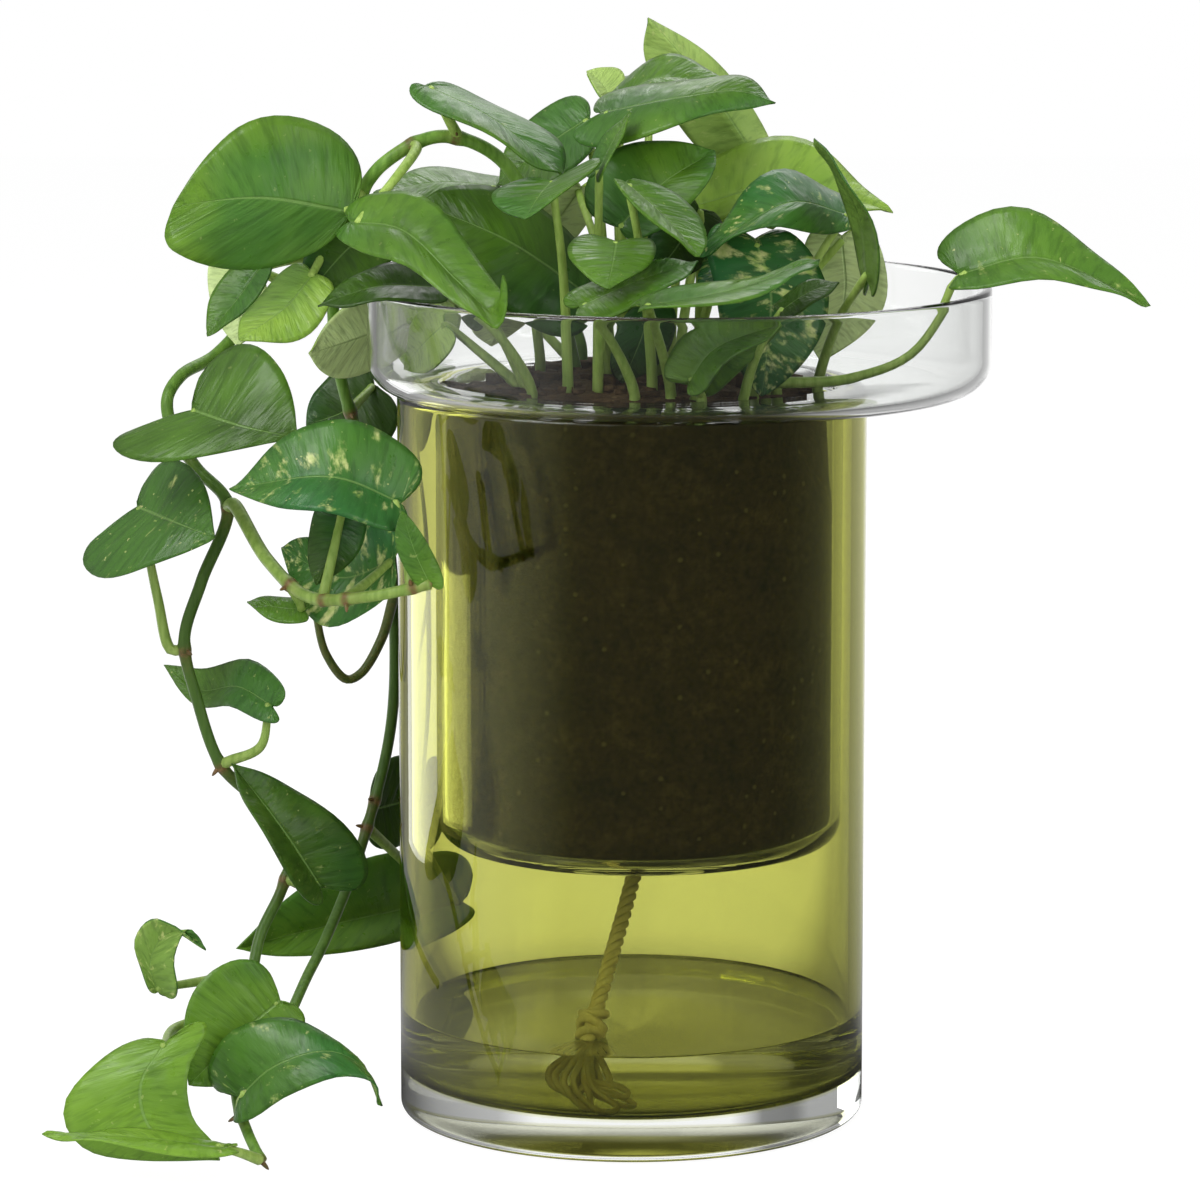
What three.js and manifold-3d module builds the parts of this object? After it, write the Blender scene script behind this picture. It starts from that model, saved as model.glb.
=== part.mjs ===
// Self-watering pot: a cased glass vessel, a clear glass planter that hangs in it from its own dish,
// a cotton wick from the planter down into the reservoir water, the soil and a trailing plant.
// Millimetres, +Z up. The origin is the middle of the vessel's underside. +X points to the dish's wide side.
import * as THREE from 'three';
import { mergeVertices } from 'three/addons/utils/BufferGeometryUtils.js';
import Module from 'manifold-3d';

const wasm = await Module();
wasm.setup();

// Vessel
const VESSEL_RADIUS = 80;
const VESSEL_HEIGHT = 250;
const VESSEL_WALL = 5;
const VESSEL_BASE = 15;
const BASE_EDGE_RADIUS = 3;
const FLOOR_CORNER_RADIUS = 6;
const LIP_RADIUS = 1.6;

// Planter: a shallow dish with a pot below it, blown as one piece
const SEAT_GAP = 0.3;
const DISH_OVERHANG = 26;
const DISH_HEIGHT = 36;
const DISH_WALL = 3;
const DISH_CORNER_RADIUS = 11;
const DISH_SHIFT = 13.5;
const PLANTER_SHIFT = 2.5;
const POT_CLEARANCE = 5.5;
const POT_DEPTH = 156;
const POT_WALL = 3;
const POT_BASE = 4;
const POT_CORNER_RADIUS = 10;
const WICK_HOLE_DIAMETER = 9;

// Contents
const FIT_GAP = 0.3;
const WATER_DEPTH = 21;
const SOIL_GAP = 0.4;
const SOIL_EDGE_DROP = 5;
const SOIL_MOUND = 9;

// Wick
const WICK_DIAMETER = 5;
const WICK_RISE = 22;
const WICK_CHANNEL_GAP = 0.6;
const WICK_WALL_GAP = 30;
const WICK_BEARING = -107;
const WICK_FOOT_RISE = 4;
const WICK_SLACK = 5;
const KNOT_RADIUS = 5;
const KNOT_FLATNESS = [1, 0.85, 0.8];
const STRAND_DIAMETER = 2;
const LOOP_COUNT = 5;
const LOOP_LENGTH = 16;
const LOOP_HALF_WIDTH = 4.5;
const LOOP_PITCH = 2.6;
const LOOP_FIRST_HEADING = -165;
const LOOP_LAST_HEADING = -35;
const WELL_GAP = 2;

// Plant
const STEM_RADIUS = 2.2;
const PETIOLE_RADIUS = 1.4;
const LEAF_THICKNESS = 0.8;
const LOBE_SHARE = 0.16;
const SPROUT_LENGTH = 4;
const STALK_BEND_OUT = 0.4;
const STALK_BEND_UP = 0.62;
const ROOT_SPREAD = 46;
const ROOT_REACH = 60;
const STALK_SEAT_GAP = 0.6;
const SHOOT_SEAT_GAP = 0.1;
const LOOP_STEM_RADIUS = 1.5;
const PLANT_STEP_COUNT = 80;

// Facets
const ROUND_SEGMENTS = 40;
const HOLE_SEGMENTS = 24;
const CORNER_STEPS = 3;
const SOIL_RINGS = 5;
const ROPE_SIDES = 10;
const ROPE_STEPS = 14;
const STRAND_SIDES = 6;
const STRAND_STEPS_PER_LOOP = 24;
const STEM_SIDES = 6;
const STEM_STEP_LENGTH = 10;
const PETIOLE_SIDES = 5;
const PETIOLE_STEPS = 4;
const PETIOLE_STEP_LENGTH = 16;
const LEAF_ROWS = 5;
const LEAF_COLUMNS = 4;

// Sizes that follow from the ones above
const vesselBore = VESSEL_RADIUS - VESSEL_WALL;
const potRadius = vesselBore - POT_CLEARANCE;
const potBore = potRadius - POT_WALL;
const dishRadius = VESSEL_RADIUS + DISH_OVERHANG;
const potX = PLANTER_SHIFT;
const dishX = PLANTER_SHIFT + DISH_SHIFT;
const dishUnder = VESSEL_HEIGHT + SEAT_GAP;
const dishFloor = dishUnder + DISH_WALL;
const rimZ = dishUnder + DISH_HEIGHT;
const potUnder = dishUnder - POT_DEPTH;
const potFloor = potUnder + POT_BASE;
const waterTop = VESSEL_BASE + WATER_DEPTH;
const soilRadius = potBore - SOIL_GAP;
const soilBottom = potFloor + SOIL_GAP;
const soilEdge = dishFloor - SOIL_EDGE_DROP;
const plantStep = VESSEL_RADIUS / PLANT_STEP_COUNT;

const glass = (colour) => new THREE.MeshStandardMaterial({ color: colour, roughness: 0.05, metalness: 0 });
const matte = (colour) => new THREE.MeshStandardMaterial({ color: colour, roughness: 0.85, metalness: 0 });
const leafMaterial = new THREE.MeshStandardMaterial({ color: 0x3f7d2c, roughness: 0.4, metalness: 0 });
const stemMaterial = new THREE.MeshStandardMaterial({ color: 0x6b8f3a, roughness: 0.5, metalness: 0 });
const cottonMaterial = matte(0xcfc38a);

const v3 = (x, y, z) => new THREE.Vector3(x, y, z);
const v2 = (x, y) => new THREE.Vector2(x, y);
const radians = (degrees) => THREE.MathUtils.degToRad(degrees);

// Points of a quarter-round corner from one angle to another, in degrees
function corner(cx, cy, radius, fromAngle, toAngle) {
  const points = [];
  for (let i = 0; i <= CORNER_STEPS; i += 1) {
    const angle = radians(fromAngle + ((toAngle - fromAngle) * i) / CORNER_STEPS);
    points.push(v2(cx + radius * Math.cos(angle), cy + radius * Math.sin(angle)));
  }
  return points;
}

// A turned solid about +Z from a profile of (radius, height) points
function lathe(points) {
  const geometry = new THREE.LatheGeometry(points, ROUND_SEGMENTS);
  geometry.rotateX(Math.PI / 2);
  return geometry;
}

function toSolid(geometry) {
  const bare = geometry.index ? geometry.clone() : geometry;
  bare.deleteAttribute('normal');
  bare.deleteAttribute('uv');
  const merged = mergeVertices(bare, 1e-4);
  const kept = [];
  const index = merged.index.array;
  for (let i = 0; i < index.length; i += 3) {
    const [a, b, c] = [index[i], index[i + 1], index[i + 2]];
    if (a !== b && b !== c && c !== a) kept.push(a, b, c);
  }
  return new wasm.Manifold(new wasm.Mesh({
    numProp: 3,
    vertProperties: new Float32Array(merged.attributes.position.array),
    triVerts: new Uint32Array(kept),
  }));
}

function toGeometry(solid) {
  const mesh = solid.getMesh();
  const geometry = new THREE.BufferGeometry();
  geometry.setAttribute('position', new THREE.BufferAttribute(mesh.vertProperties, 3));
  geometry.setIndex(new THREE.BufferAttribute(mesh.triVerts, 1));
  geometry.computeVertexNormals();
  return geometry;
}

function node(name, solid, material) {
  const mesh = new THREE.Mesh(toGeometry(solid), material);
  mesh.name = name;
  return mesh;
}

function cylinder(radius, bottom, top, x = 0, y = 0) {
  const geometry = new THREE.CylinderGeometry(radius, radius, top - bottom, HOLE_SEGMENTS);
  geometry.rotateX(Math.PI / 2);
  geometry.translate(x, y, (top + bottom) / 2);
  return toSolid(geometry);
}

function polygon(radius, sides) {
  const shape = new THREE.Shape();
  for (let i = 0; i < sides; i += 1) {
    const angle = (2 * Math.PI * i) / sides;
    if (i === 0) shape.moveTo(radius, 0);
    else shape.lineTo(radius * Math.cos(angle), radius * Math.sin(angle));
  }
  return shape;
}

function tube(curve, radius, sides, steps) {
  return toSolid(new THREE.ExtrudeGeometry(polygon(radius, sides), { steps, extrudePath: curve }));
}

function outerVessel() {
  const bore = vesselBore;
  const profile = [
    v2(0, 0),
    ...corner(VESSEL_RADIUS - BASE_EDGE_RADIUS, BASE_EDGE_RADIUS, BASE_EDGE_RADIUS, -90, 0),
    ...corner(VESSEL_RADIUS - LIP_RADIUS, VESSEL_HEIGHT - LIP_RADIUS, LIP_RADIUS, 0, 90),
    ...corner(bore + LIP_RADIUS, VESSEL_HEIGHT - LIP_RADIUS, LIP_RADIUS, 90, 180),
    ...corner(bore - FLOOR_CORNER_RADIUS, VESSEL_BASE + FLOOR_CORNER_RADIUS, FLOOR_CORNER_RADIUS, 0, -90),
    v2(0, VESSEL_BASE),
  ];
  return node('outer_vessel', toSolid(lathe(profile)), glass(0xb9bb4e));
}

function planterInsert() {
  const dishInner = dishRadius - DISH_WALL;
  const innerCorner = DISH_CORNER_RADIUS - DISH_WALL;
  const lip = DISH_WALL / 2;
  const dish = toSolid(lathe([
    v2(0, dishUnder),
    ...corner(dishRadius - DISH_CORNER_RADIUS, dishUnder + DISH_CORNER_RADIUS, DISH_CORNER_RADIUS, -90, 0),
    ...corner(dishRadius - lip, rimZ - lip, lip, 0, 180),
    ...corner(dishInner - innerCorner, dishFloor + innerCorner, innerCorner, 0, -90),
    v2(0, dishFloor),
  ])).translate([dishX, 0, 0]);
  const potOutside = toSolid(lathe([
    v2(0, potUnder),
    ...corner(potRadius - POT_CORNER_RADIUS, potUnder + POT_CORNER_RADIUS, POT_CORNER_RADIUS, -90, 0),
    v2(potRadius, dishFloor),
    v2(0, dishFloor),
  ])).translate([potX, 0, 0]);
  const potInside = toSolid(lathe(potCavity(potBore, potFloor, rimZ))).translate([potX, 0, 0]);
  const hole = cylinder(WICK_HOLE_DIAMETER / 2, potUnder - 1, potFloor + 1, potX);
  const dishInside = cylinder(dishInner - innerCorner, dishFloor, rimZ, dishX);
  const solid = dish.add(potOutside).subtract(potInside.subtract(dishInside)).subtract(hole);
  return node('planter_insert', solid, glass(0xdfe8e2));
}

// Profile of the space inside the pot, rounded at the bottom
function potCavity(radius, bottom, top) {
  const round = POT_CORNER_RADIUS - POT_WALL;
  const foot = corner(radius - round, bottom + round, round, -90, 0);
  return [v2(0, bottom), ...foot, v2(radius, top), v2(0, top)];
}

// Height of the mounded soil at a distance from the pot's axis
function soilHeight(distance) {
  const share = distance / soilRadius;
  return soilEdge + SOIL_MOUND * (1 - share * share);
}

function soilPlug() {
  const profile = potCavity(soilRadius, soilBottom, soilEdge).slice(0, -2);
  for (let i = 0; i <= SOIL_RINGS; i += 1) {
    const distance = (soilRadius * (SOIL_RINGS - i)) / SOIL_RINGS;
    profile.push(v2(distance, soilHeight(distance)));
  }
  const channel = cylinder(
    WICK_DIAMETER / 2 + WICK_CHANNEL_GAP,
    soilBottom - 1,
    potFloor + WICK_RISE + WICK_CHANNEL_GAP,
    potX,
  );
  const plug = toSolid(lathe(profile)).translate([potX, 0, 0]);
  return node('soil_plug', plug.subtract(channel), matte(0x2b2013));
}

// The wick's route: straight down out of the hole, then slanting forward into the water with a little slack
const wickExit = v3(potX, 0, potUnder);
const wickReach = vesselBore - WICK_WALL_GAP;
const wickEnd = v3(
  wickReach * Math.cos(radians(WICK_BEARING)),
  wickReach * Math.sin(radians(WICK_BEARING)),
  waterTop + WICK_FOOT_RISE,
);
const slant = (share, sag) => wickExit.clone().lerp(wickEnd, share).add(v3(0, 0, -sag));
const wickRoute = [
  v3(potX, 0, potFloor + WICK_RISE),
  v3(potX, 0, potFloor + WICK_RISE / 2),
  v3(potX, 0, potUnder - FIT_GAP),
  slant(0.06, WICK_SLACK),
  slant(0.3, WICK_SLACK),
  slant(0.65, WICK_SLACK / 2),
  wickEnd,
];
const wickCurve = new THREE.CatmullRomCurve3(wickRoute);
const wickHeading = wickCurve.getTangent(1);

// The knot follows on from the rope's end, and its loops lie below it on the vessel's floor
const knotCentre = wickEnd.clone().addScaledVector(wickHeading, FIT_GAP + KNOT_RADIUS);
const wellRadius = LOOP_LENGTH + STRAND_DIAMETER + WELL_GAP;

function wickRope() {
  return node('wick_rope', tube(wickCurve, WICK_DIAMETER / 2, ROPE_SIDES, ROPE_STEPS), cottonMaterial);
}

function wickKnot() {
  const knot = new THREE.SphereGeometry(KNOT_RADIUS, 12, 8);
  knot.scale(...KNOT_FLATNESS);
  knot.translate(knotCentre.x, knotCentre.y, knotCentre.z);
  const neckStart = wickEnd.clone().addScaledVector(wickHeading, FIT_GAP);
  const neck = new THREE.LineCurve3(neckStart, knotCentre);
  return node('wick_knot', toSolid(knot).add(tube(neck, WICK_DIAMETER / 2, ROPE_SIDES, 1)), cottonMaterial);
}

// One unbroken strand in loops that fan out from below the knot, each a pitch above the last
function strandLoops() {
  const points = [];
  const floor = VESSEL_BASE + FIT_GAP + STRAND_DIAMETER / 2;
  const total = LOOP_COUNT * STRAND_STEPS_PER_LOOP;
  for (let i = 0; i <= total; i += 1) {
    const turn = i / STRAND_STEPS_PER_LOOP;
    const share = turn / LOOP_COUNT;
    const heading = radians(THREE.MathUtils.lerp(LOOP_FIRST_HEADING, LOOP_LAST_HEADING, share));
    const out = (LOOP_LENGTH * (1 - Math.cos(2 * Math.PI * turn))) / 2;
    const aside = LOOP_HALF_WIDTH * Math.sin(2 * Math.PI * turn);
    points.push(v3(
      knotCentre.x + out * Math.cos(heading) - aside * Math.sin(heading),
      knotCentre.y + out * Math.sin(heading) + aside * Math.cos(heading),
      floor + LOOP_PITCH * turn,
    ));
  }
  return points;
}

function leastGap(points, diameter, apart) {
  let least = Infinity;
  for (let i = 0; i < points.length; i += 1) {
    for (let j = i + apart; j < points.length; j += 1) {
      least = Math.min(least, points[i].distanceTo(points[j]) - diameter);
    }
  }
  return least;
}

function wickLoops() {
  const points = strandLoops();
  const gap = leastGap(points, STRAND_DIAMETER, STRAND_STEPS_PER_LOOP / 4);
  console.log(`wick loops: least gap to itself ${gap.toFixed(2)} mm`);
  const curve = new THREE.CatmullRomCurve3(points);
  const strand = tube(curve, STRAND_DIAMETER / 2, STRAND_SIDES, points.length - 1);
  return node('wick_loops', strand, cottonMaterial);
}

// The water is open around the wick, so that the planter lifts straight out of it
function reservoirWater() {
  const radius = vesselBore - FIT_GAP;
  const round = FLOOR_CORNER_RADIUS;
  const profile = [
    v2(0, VESSEL_BASE + FIT_GAP),
    ...corner(radius - round, VESSEL_BASE + FIT_GAP + round, round, -90, 0),
    v2(radius, waterTop),
    v2(0, waterTop),
  ];
  const well = cylinder(wellRadius, VESSEL_BASE - 1, waterTop + 1, knotCentre.x, knotCentre.y);
  return node('reservoir_water', toSolid(lathe(profile)).subtract(well), glass(0xa9b24a));
}

// Places on the plant, in steps that grow with the pot. crown: from the rim's level over the pot's axis.
// trail: from the dish's left wall, with the height as a share of the rim's height. farRim: from the rim of
// the dish's wide side. soil: on the soil's surface, from the pot's axis.
const grown = (x, y, z) => v3(x, y, z).multiplyScalar(plantStep);
const crown = ([x, y, up]) => grown(x, y, up).add(v3(potX, 0, rimZ));
const farRim = ([x, y, up]) => grown(x, y, up).add(v3(dishX + dishRadius, 0, rimZ));
const trail = ([x, y, share]) => grown(x, y, 0).add(v3(dishX - dishRadius, 0, rimZ * share));
const soil = ([x, y]) => {
  const surface = soilHeight(Math.hypot(x, y) * plantStep) + 2 * FIT_GAP;
  return grown(x, y, 0).add(v3(potX, 0, surface));
};

const smooth = (route) => new THREE.CatmullRomCurve3(route);
const vineCurves = {
  vine_long: smooth([
    soil([-22, 4]), crown([-34, -4, 20]), crown([-48, -10, 44]), crown([-67, -14, 51]), crown([-86, -16, 42]),
    trail([-7, -8, 1.08]), trail([-20, 8, 1.03]), trail([-36, 18, 0.97]), trail([-52, 8, 0.912]),
    trail([-63, -8, 0.893]), trail([-67, -16, 0.868]), trail([-65, -19, 0.833]), trail([-57, -24, 0.792]),
    trail([-46, -30, 0.75]),
    trail([-55, -32, 0.66]), trail([-61, -32, 0.59]), trail([-57, -32, 0.52]), trail([-49, -32, 0.44]),
    trail([-36, -28, 0.39]), trail([-26, -26, 0.335]), trail([-29, -30, 0.29]), trail([-36, -40, 0.24]),
    trail([-39, -52, 0.18]), trail([-42, -66, 0.11]), trail([-42, -76, 0.075]), trail([-38, -86, 0.045]),
    trail([-33, -96, 0.02]),
  ]),
  vine_behind: smooth([
    soil([-20, 26]), crown([-21, 27, -22]), crown([-40, 34, 10]), crown([-72, 42, 22]),
    trail([-10, 44, 1.02]), trail([-13, 50, 0.9]), trail([-6, 56, 0.79]), trail([3, 62, 0.685]),
    trail([6, 62, 0.584]), trail([5, 58, 0.43]), trail([-5, 40, 0.29]), trail([-16, 8, 0.2]),
    trail([-22, -10, 0.165]), trail([-26, -26, 0.14]),
  ]),
};

// A thin side stem hangs in a loop from the vine behind
const LOOP_STEM = [
  [6, 61, 0.587], [2, 48, 0.542], [-5, 44, 0.503], [-10, 42, 0.497], [-17, 40, 0.53], [-20, 40, 0.573],
  [-21, 40, 0.605],
];

// The side shoot branches off the long vine
const shootBend = trail([-31, -58, 0.7]);
const shootBranch = branch(vineCurves.vine_long, trail([-46, -30, 0.75]), shootBend, SHOOT_SEAT_GAP);
vineCurves.vine_shoot = smooth([
  shootBranch.root, shootBranch.root.clone().addScaledVector(shootBranch.outward, SPROUT_LENGTH), shootBend,
  trail([-16, -78, 0.668]), trail([4, -92, 0.677]), trail([24, -99, 0.695]),
]);

// Leaves that rise from the soil: name, the midrib from the stalk to the tip, the two edges at their widest,
// from the midrib, and where the stalk leaves the soil when that isn't straight below
const CROWN_LEAVES = [
  ['crown_leaf_01', [[-17, 16, 55], [-34, 12, 44], [-48, 8, 33]], [-8, 10, 7], [0, -12, -13]],
  ['crown_leaf_02', [[-17, -20, -2], [-44, -28, 17], [-74, -20, 29]], [-4, 14, 18], [-12, -10, -14]],
  ['crown_leaf_03', [[-49, 30, 30], [-67, 26, 32], [-91, 20, 29]], [-3, 14, 4], [-2, -14, -6], [-34, 14]],
  ['crown_leaf_04', [[39, 42, 42], [23, 36, 65], [3, 32, 88]], [-17, 4, -3], [7, 12, 4], [20, 46]],
  ['crown_leaf_05', [[-13, -18, 59], [13, -30, 65], [33, -28, 67], [45, -26, 63]],
    [5, 16, 6], [-7, -10, -11], [6, -8]],
  ['crown_leaf_06', [[-8, 12, 62], [7, 8, 69], [30, 6, 66]], [4, 12, 7], [0, -10, -4]],
  ['crown_leaf_07', [[-10, 34, 60], [-13, 38, 65], [-18, 42, 69]], [-3, -4, 0], [6, 6, 5]],
  ['crown_leaf_08', [[-7, -30, 22], [7, -30, 36], [25, -24, 47]], [-13, 8, 13], [13, -6, -2]],
  ['crown_leaf_09', [[-14, -42, 41], [-9, -40, 51], [-3, -36, 61]], [-4, 8, 0], [1, -8, -1], [-14, -30]],
  ['crown_leaf_10', [[-29, -48, 39], [-33, -56, 35], [-38, -66, 28]], [-16, 6, -1], [17, 2, 8], [-24, -36]],
  ['crown_leaf_11', [[-8, -60, 20], [-9, -72, 15], [-11, -84, 7]], [-15, 5, 1], [13, 3, 0], [-14, -36]],
  ['crown_leaf_12', [[-5, -55, 39], [8, -62, 28], [19, -70, 16]], [13, 8, -2], [-3, -10, -1], [4, -36]],
  ['crown_leaf_13', [[70, -20, 25], [48, -44, 31], [19, -48, 14]], [-5, 15, 9], [-6, -14, -6], [46, -22]],
  ['crown_leaf_14', [[75, -46, 6], [72, -46, 28], [57, -48, 53]], [-2, 10, -2], [3, -14, 0], [60, -16]],
  ['crown_leaf_15', [[17, 18, 24], [51, 14, 32], [87, 22, 22]], [1, 18, 15], [3, -18, -5]],
  ['crown_leaf_16', [[33, -12, 16], [28, -28, 9], [20, -40, 1]], [-8, 4, 0], [6, -10, -3]],
  ['crown_leaf_17', [[38, -40, 19], [43, -47, 3], [42, -49, -15], [40, -49, -33]],
    [-18, 0, 1], [19, 2, -3], [42, -26]],
  ['crown_leaf_18', [[-20, -72, 0], [-2, -64, 7], [19, -52, 13]], [-3, 10, 4], [6, -16, -3], [-2, -54]],
  ['crown_leaf_19', [[0, -92, 2], [30, -86, 7], [58, -78, 16]], [3, 11, 3], [10, -15, 1], [10, -52]],
  ['crown_leaf_20', [[46, -66, -2], [55, -66, 4], [65, -64, 7]], [-1, 6, 3], [3, -6, -2], [34, -54]],
  ['crown_leaf_21', [[70, 32, 13], [71, 29, -8], [63, 25, -30]], [-14, 5, -2], [14, -4, -2], [48, 38]],
  ['crown_leaf_22', [[16, -66, -25], [24, -70, -14], [46, -76, -5]], [-9, 4, 5], [4, -10, -3], [20, -56]],
  ['crown_leaf_23', [[30, 56, 34], [42, 74, 28], [48, 88, 10]], [-18, 9, 0], [18, -9, 0]],
  ['crown_leaf_24', [[-20, 54, 28], [-33, 63, 8], [-42, 67, -18]], [12, 5, 2], [-12, -3, -2]],
  ['crown_leaf_25', [[4, 48, 66], [6, 66, 66], [8, 84, 54]], [-16, 2, -2], [16, -2, -2]],
  ['crown_leaf_26', [[-66, -52, 4], [-86, -58, 5], [-106, -62, -1]], [0, 11, 7], [-1, -11, -4], [-36, -42]],
];

// One leaf reaches out over the rim on the dish's wide side, on a long stalk that lies in the dish.
// Its places are from the rim of that side.
const OUTLIER_LEAF = [
  'outlier_leaf', [[-14, -48, 8], [11, -54, 14], [48, -60, -1]], [-3, 11, 15], [4, -11, -5],
];
const OUTLIER_STALK = [[-51, -44, -27], [-31, -46, -19], [-20, -46, -4], [-16, -47, 5]];
const OUTLIER_ROOT = [38, -40];

// Leaves on the vines: as above, with the vine that carries each one and, where the stalk doesn't take
// the shortest way to it, the place that it starts from and one that it passes
const TRAIL_LEAVES = [
  ['trail_leaf_01', [[-4, -28, 1.094], [-33, -40, 1.114], [-62, -44, 1.106]],
    [-3, 9, 27], [-28, -7, -20], 'vine_long'],
  ['trail_leaf_02',
    [[-3, -50, 1.089], [14, -64, 1.085], [34, -84, 1.029], [45, -92, 1.001], [48, -99, 1.046]],
    [8, 8, 9], [3, -18, -9], 'vine_long', [18, -20, 1.16], [11, -40, 1.135]],
  ['trail_leaf_03', [[21, -30, 1.241], [43, -36, 1.205], [67, -42, 1.14]],
    [17, 15, -4], [-1, -13, -5], 'vine_long', [32, -20, 1.17]],
  ['trail_leaf_04', [[-44, 6, 1.023], [-43, 4, 0.979], [-44, 0, 0.925]],
    [-11, 3, 0], [9, -1, -3], 'vine_long'],
  ['trail_leaf_05', [[-35, -10, 1.024], [-43, -14, 0.986], [-53, -20, 0.945]],
    [-8, 4, 3], [4, -6, -2], 'vine_long'],
  ['trail_leaf_06', [[-17, -24, 1.02], [-26, -32, 0.983], [-41, -40, 0.949]],
    [-11, 6, 1], [8, -8, -8], 'vine_long'],
  ['trail_leaf_07', [[11, 56, 0.936], [-4, 46, 0.918], [-22, 37, 0.901]],
    [-2, -1, 14], [-6, -1, -15], 'vine_behind'],
  ['trail_leaf_08', [[-1, 76, 0.846], [-11, 74, 0.815], [-25, 72, 0.797]],
    [-9, 5, 9], [10, -7, -14], 'vine_behind'],
  ['trail_leaf_09', [[-56, -52, 0.872], [-37, -68, 0.859], [-20, -72, 0.85]],
    [12, 10, 22], [-29, -2, -12], 'vine_long'],
  ['trail_leaf_10', [[14, -86, 0.781], [-7, -94, 0.814], [-42, -80, 0.794]],
    [3, 11, 18], [-3, -12, -9], 'vine_shoot'],
  ['trail_leaf_11', [[-76, -34, 0.75], [-61, -54, 0.741], [-48, -64, 0.729]],
    [9, 5, 16], [-20, -5, -19], 'vine_long', [-61, -32, 0.577], [-70, -30, 0.64]],
  ['trail_leaf_12', [[11, -62, 0.702], [-7, -56, 0.678], [-27, -50, 0.71]],
    [-3, 8, 13], [-6, -4, -16], 'vine_shoot'],
  ['trail_leaf_13', [[-5, -72, 0.772], [-8, -76, 0.727], [-14, -78, 0.682]],
    [-9, 4, 1], [8, 4, -3], 'vine_shoot'],
  ['trail_leaf_14', [[-19, -62, 0.644], [-27, -60, 0.645], [-38, -58, 0.651]],
    [0, 5, 3], [0, -5, -4], 'vine_shoot'],
  ['trail_leaf_15', [[-31, -42, 0.518], [-43, -30, 0.533], [-57, -17, 0.521], [-70, -8, 0.546]],
    [3, 3, 9], [-3, -2, -6], 'vine_long', [-49, -32, 0.44], [-35, -40, 0.469]],
  ['trail_leaf_16', [[-16, -36, 0.297], [-28, -42, 0.369], [-45, -40, 0.448]],
    [18, 13, 2], [-4, -13, -2], 'vine_long'],
  ['trail_leaf_17', [[-3, 64, 0.317], [6, 72, 0.32], [18, 80, 0.324]],
    [4, 4, 17], [2, 0, -15], 'vine_behind'],
  ['trail_leaf_18', [[22, 90, 0.182], [-12, 58, 0.18], [-49, 30, 0.168]],
    [-2, -2, 21], [-2, -14, -9], 'vine_behind'],
  ['trail_leaf_19', [[-69, -62, 0.191], [-71, -66, 0.232], [-64, -70, 0.269], [-52, -72, 0.249]],
    [-5, -4, 7], [8, -5, 2], 'vine_long', [-38, -47, 0.2]],
  ['trail_leaf_20', [[-28, -65, 0.183], [-42, -72, 0.145], [-58, -76, 0.091]],
    [-14, -3, 17], [9, -1, -12], 'vine_long'],
  ['trail_leaf_21',
    [[-40, -86, 0.087], [-28, -92, 0.128], [-10, -94, 0.147], [2, -93, 0.124], [7, -90, 0.079]],
    [-12, 11, 10], [4, -9, -7], 'vine_long'],
  ['trail_leaf_22', [[-64, -92, 0.157], [-72, -98, 0.11], [-68, -101, 0.06], [-46, -102, 0.026]],
    [-25, 2, -8], [15, 2, 4], 'vine_long',
    [-40, -56, 0.155], [-62, -56, 0.145]],
  ['trail_leaf_23', [[-44, -114, 0.052], [-71, -116, 0.065], [-103, -116, 0.07]],
    [-2, 9, 0], [0, -9, -1], 'vine_long'],
];

// The young leaf that ends the shoot
const SHOOT_LEAF = [[[24, -99, 0.695], [19, -99, 0.734], [15, -98, 0.779]], [-6, 0, 1], [5, 1, 1]];

// Half the blade's width as a share of the widest, from the lobes (0) to the tip (1)
function outline(share) {
  return 0.03 + 0.97 * Math.sin(Math.PI * share ** 0.7) ** 0.75 * (1 - share ** 8);
}

// A thin heart-shaped blade along its midrib, with its halves reaching out to the two edges
function blade(midrib, left, right) {
  const length = midrib.getLength();
  const start = midrib.getTangentAt(0);
  const across = v3(...right).sub(v3(...left));
  const rows = [];
  for (let i = 0; i <= LEAF_ROWS; i += 1) {
    const share = i / LEAF_ROWS;
    const at = share * (1 + LOBE_SHARE) - LOBE_SHARE;
    const centre = midrib.getPointAt(Math.max(at, 0)).addScaledVector(start, Math.min(at, 0) * length);
    const normal = midrib.getTangentAt(Math.max(at, 0)).cross(across).normalize();
    const row = [];
    for (let j = 0; j <= LEAF_COLUMNS; j += 1) {
      const reach = (2 * j) / LEAF_COLUMNS - 1;
      const edge = grown(...(reach < 0 ? left : right));
      row.push({ point: centre.clone().addScaledVector(edge, Math.abs(reach) * outline(share)), normal });
    }
    rows.push(row);
  }
  return sheet(rows, LEAF_THICKNESS);
}

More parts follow.
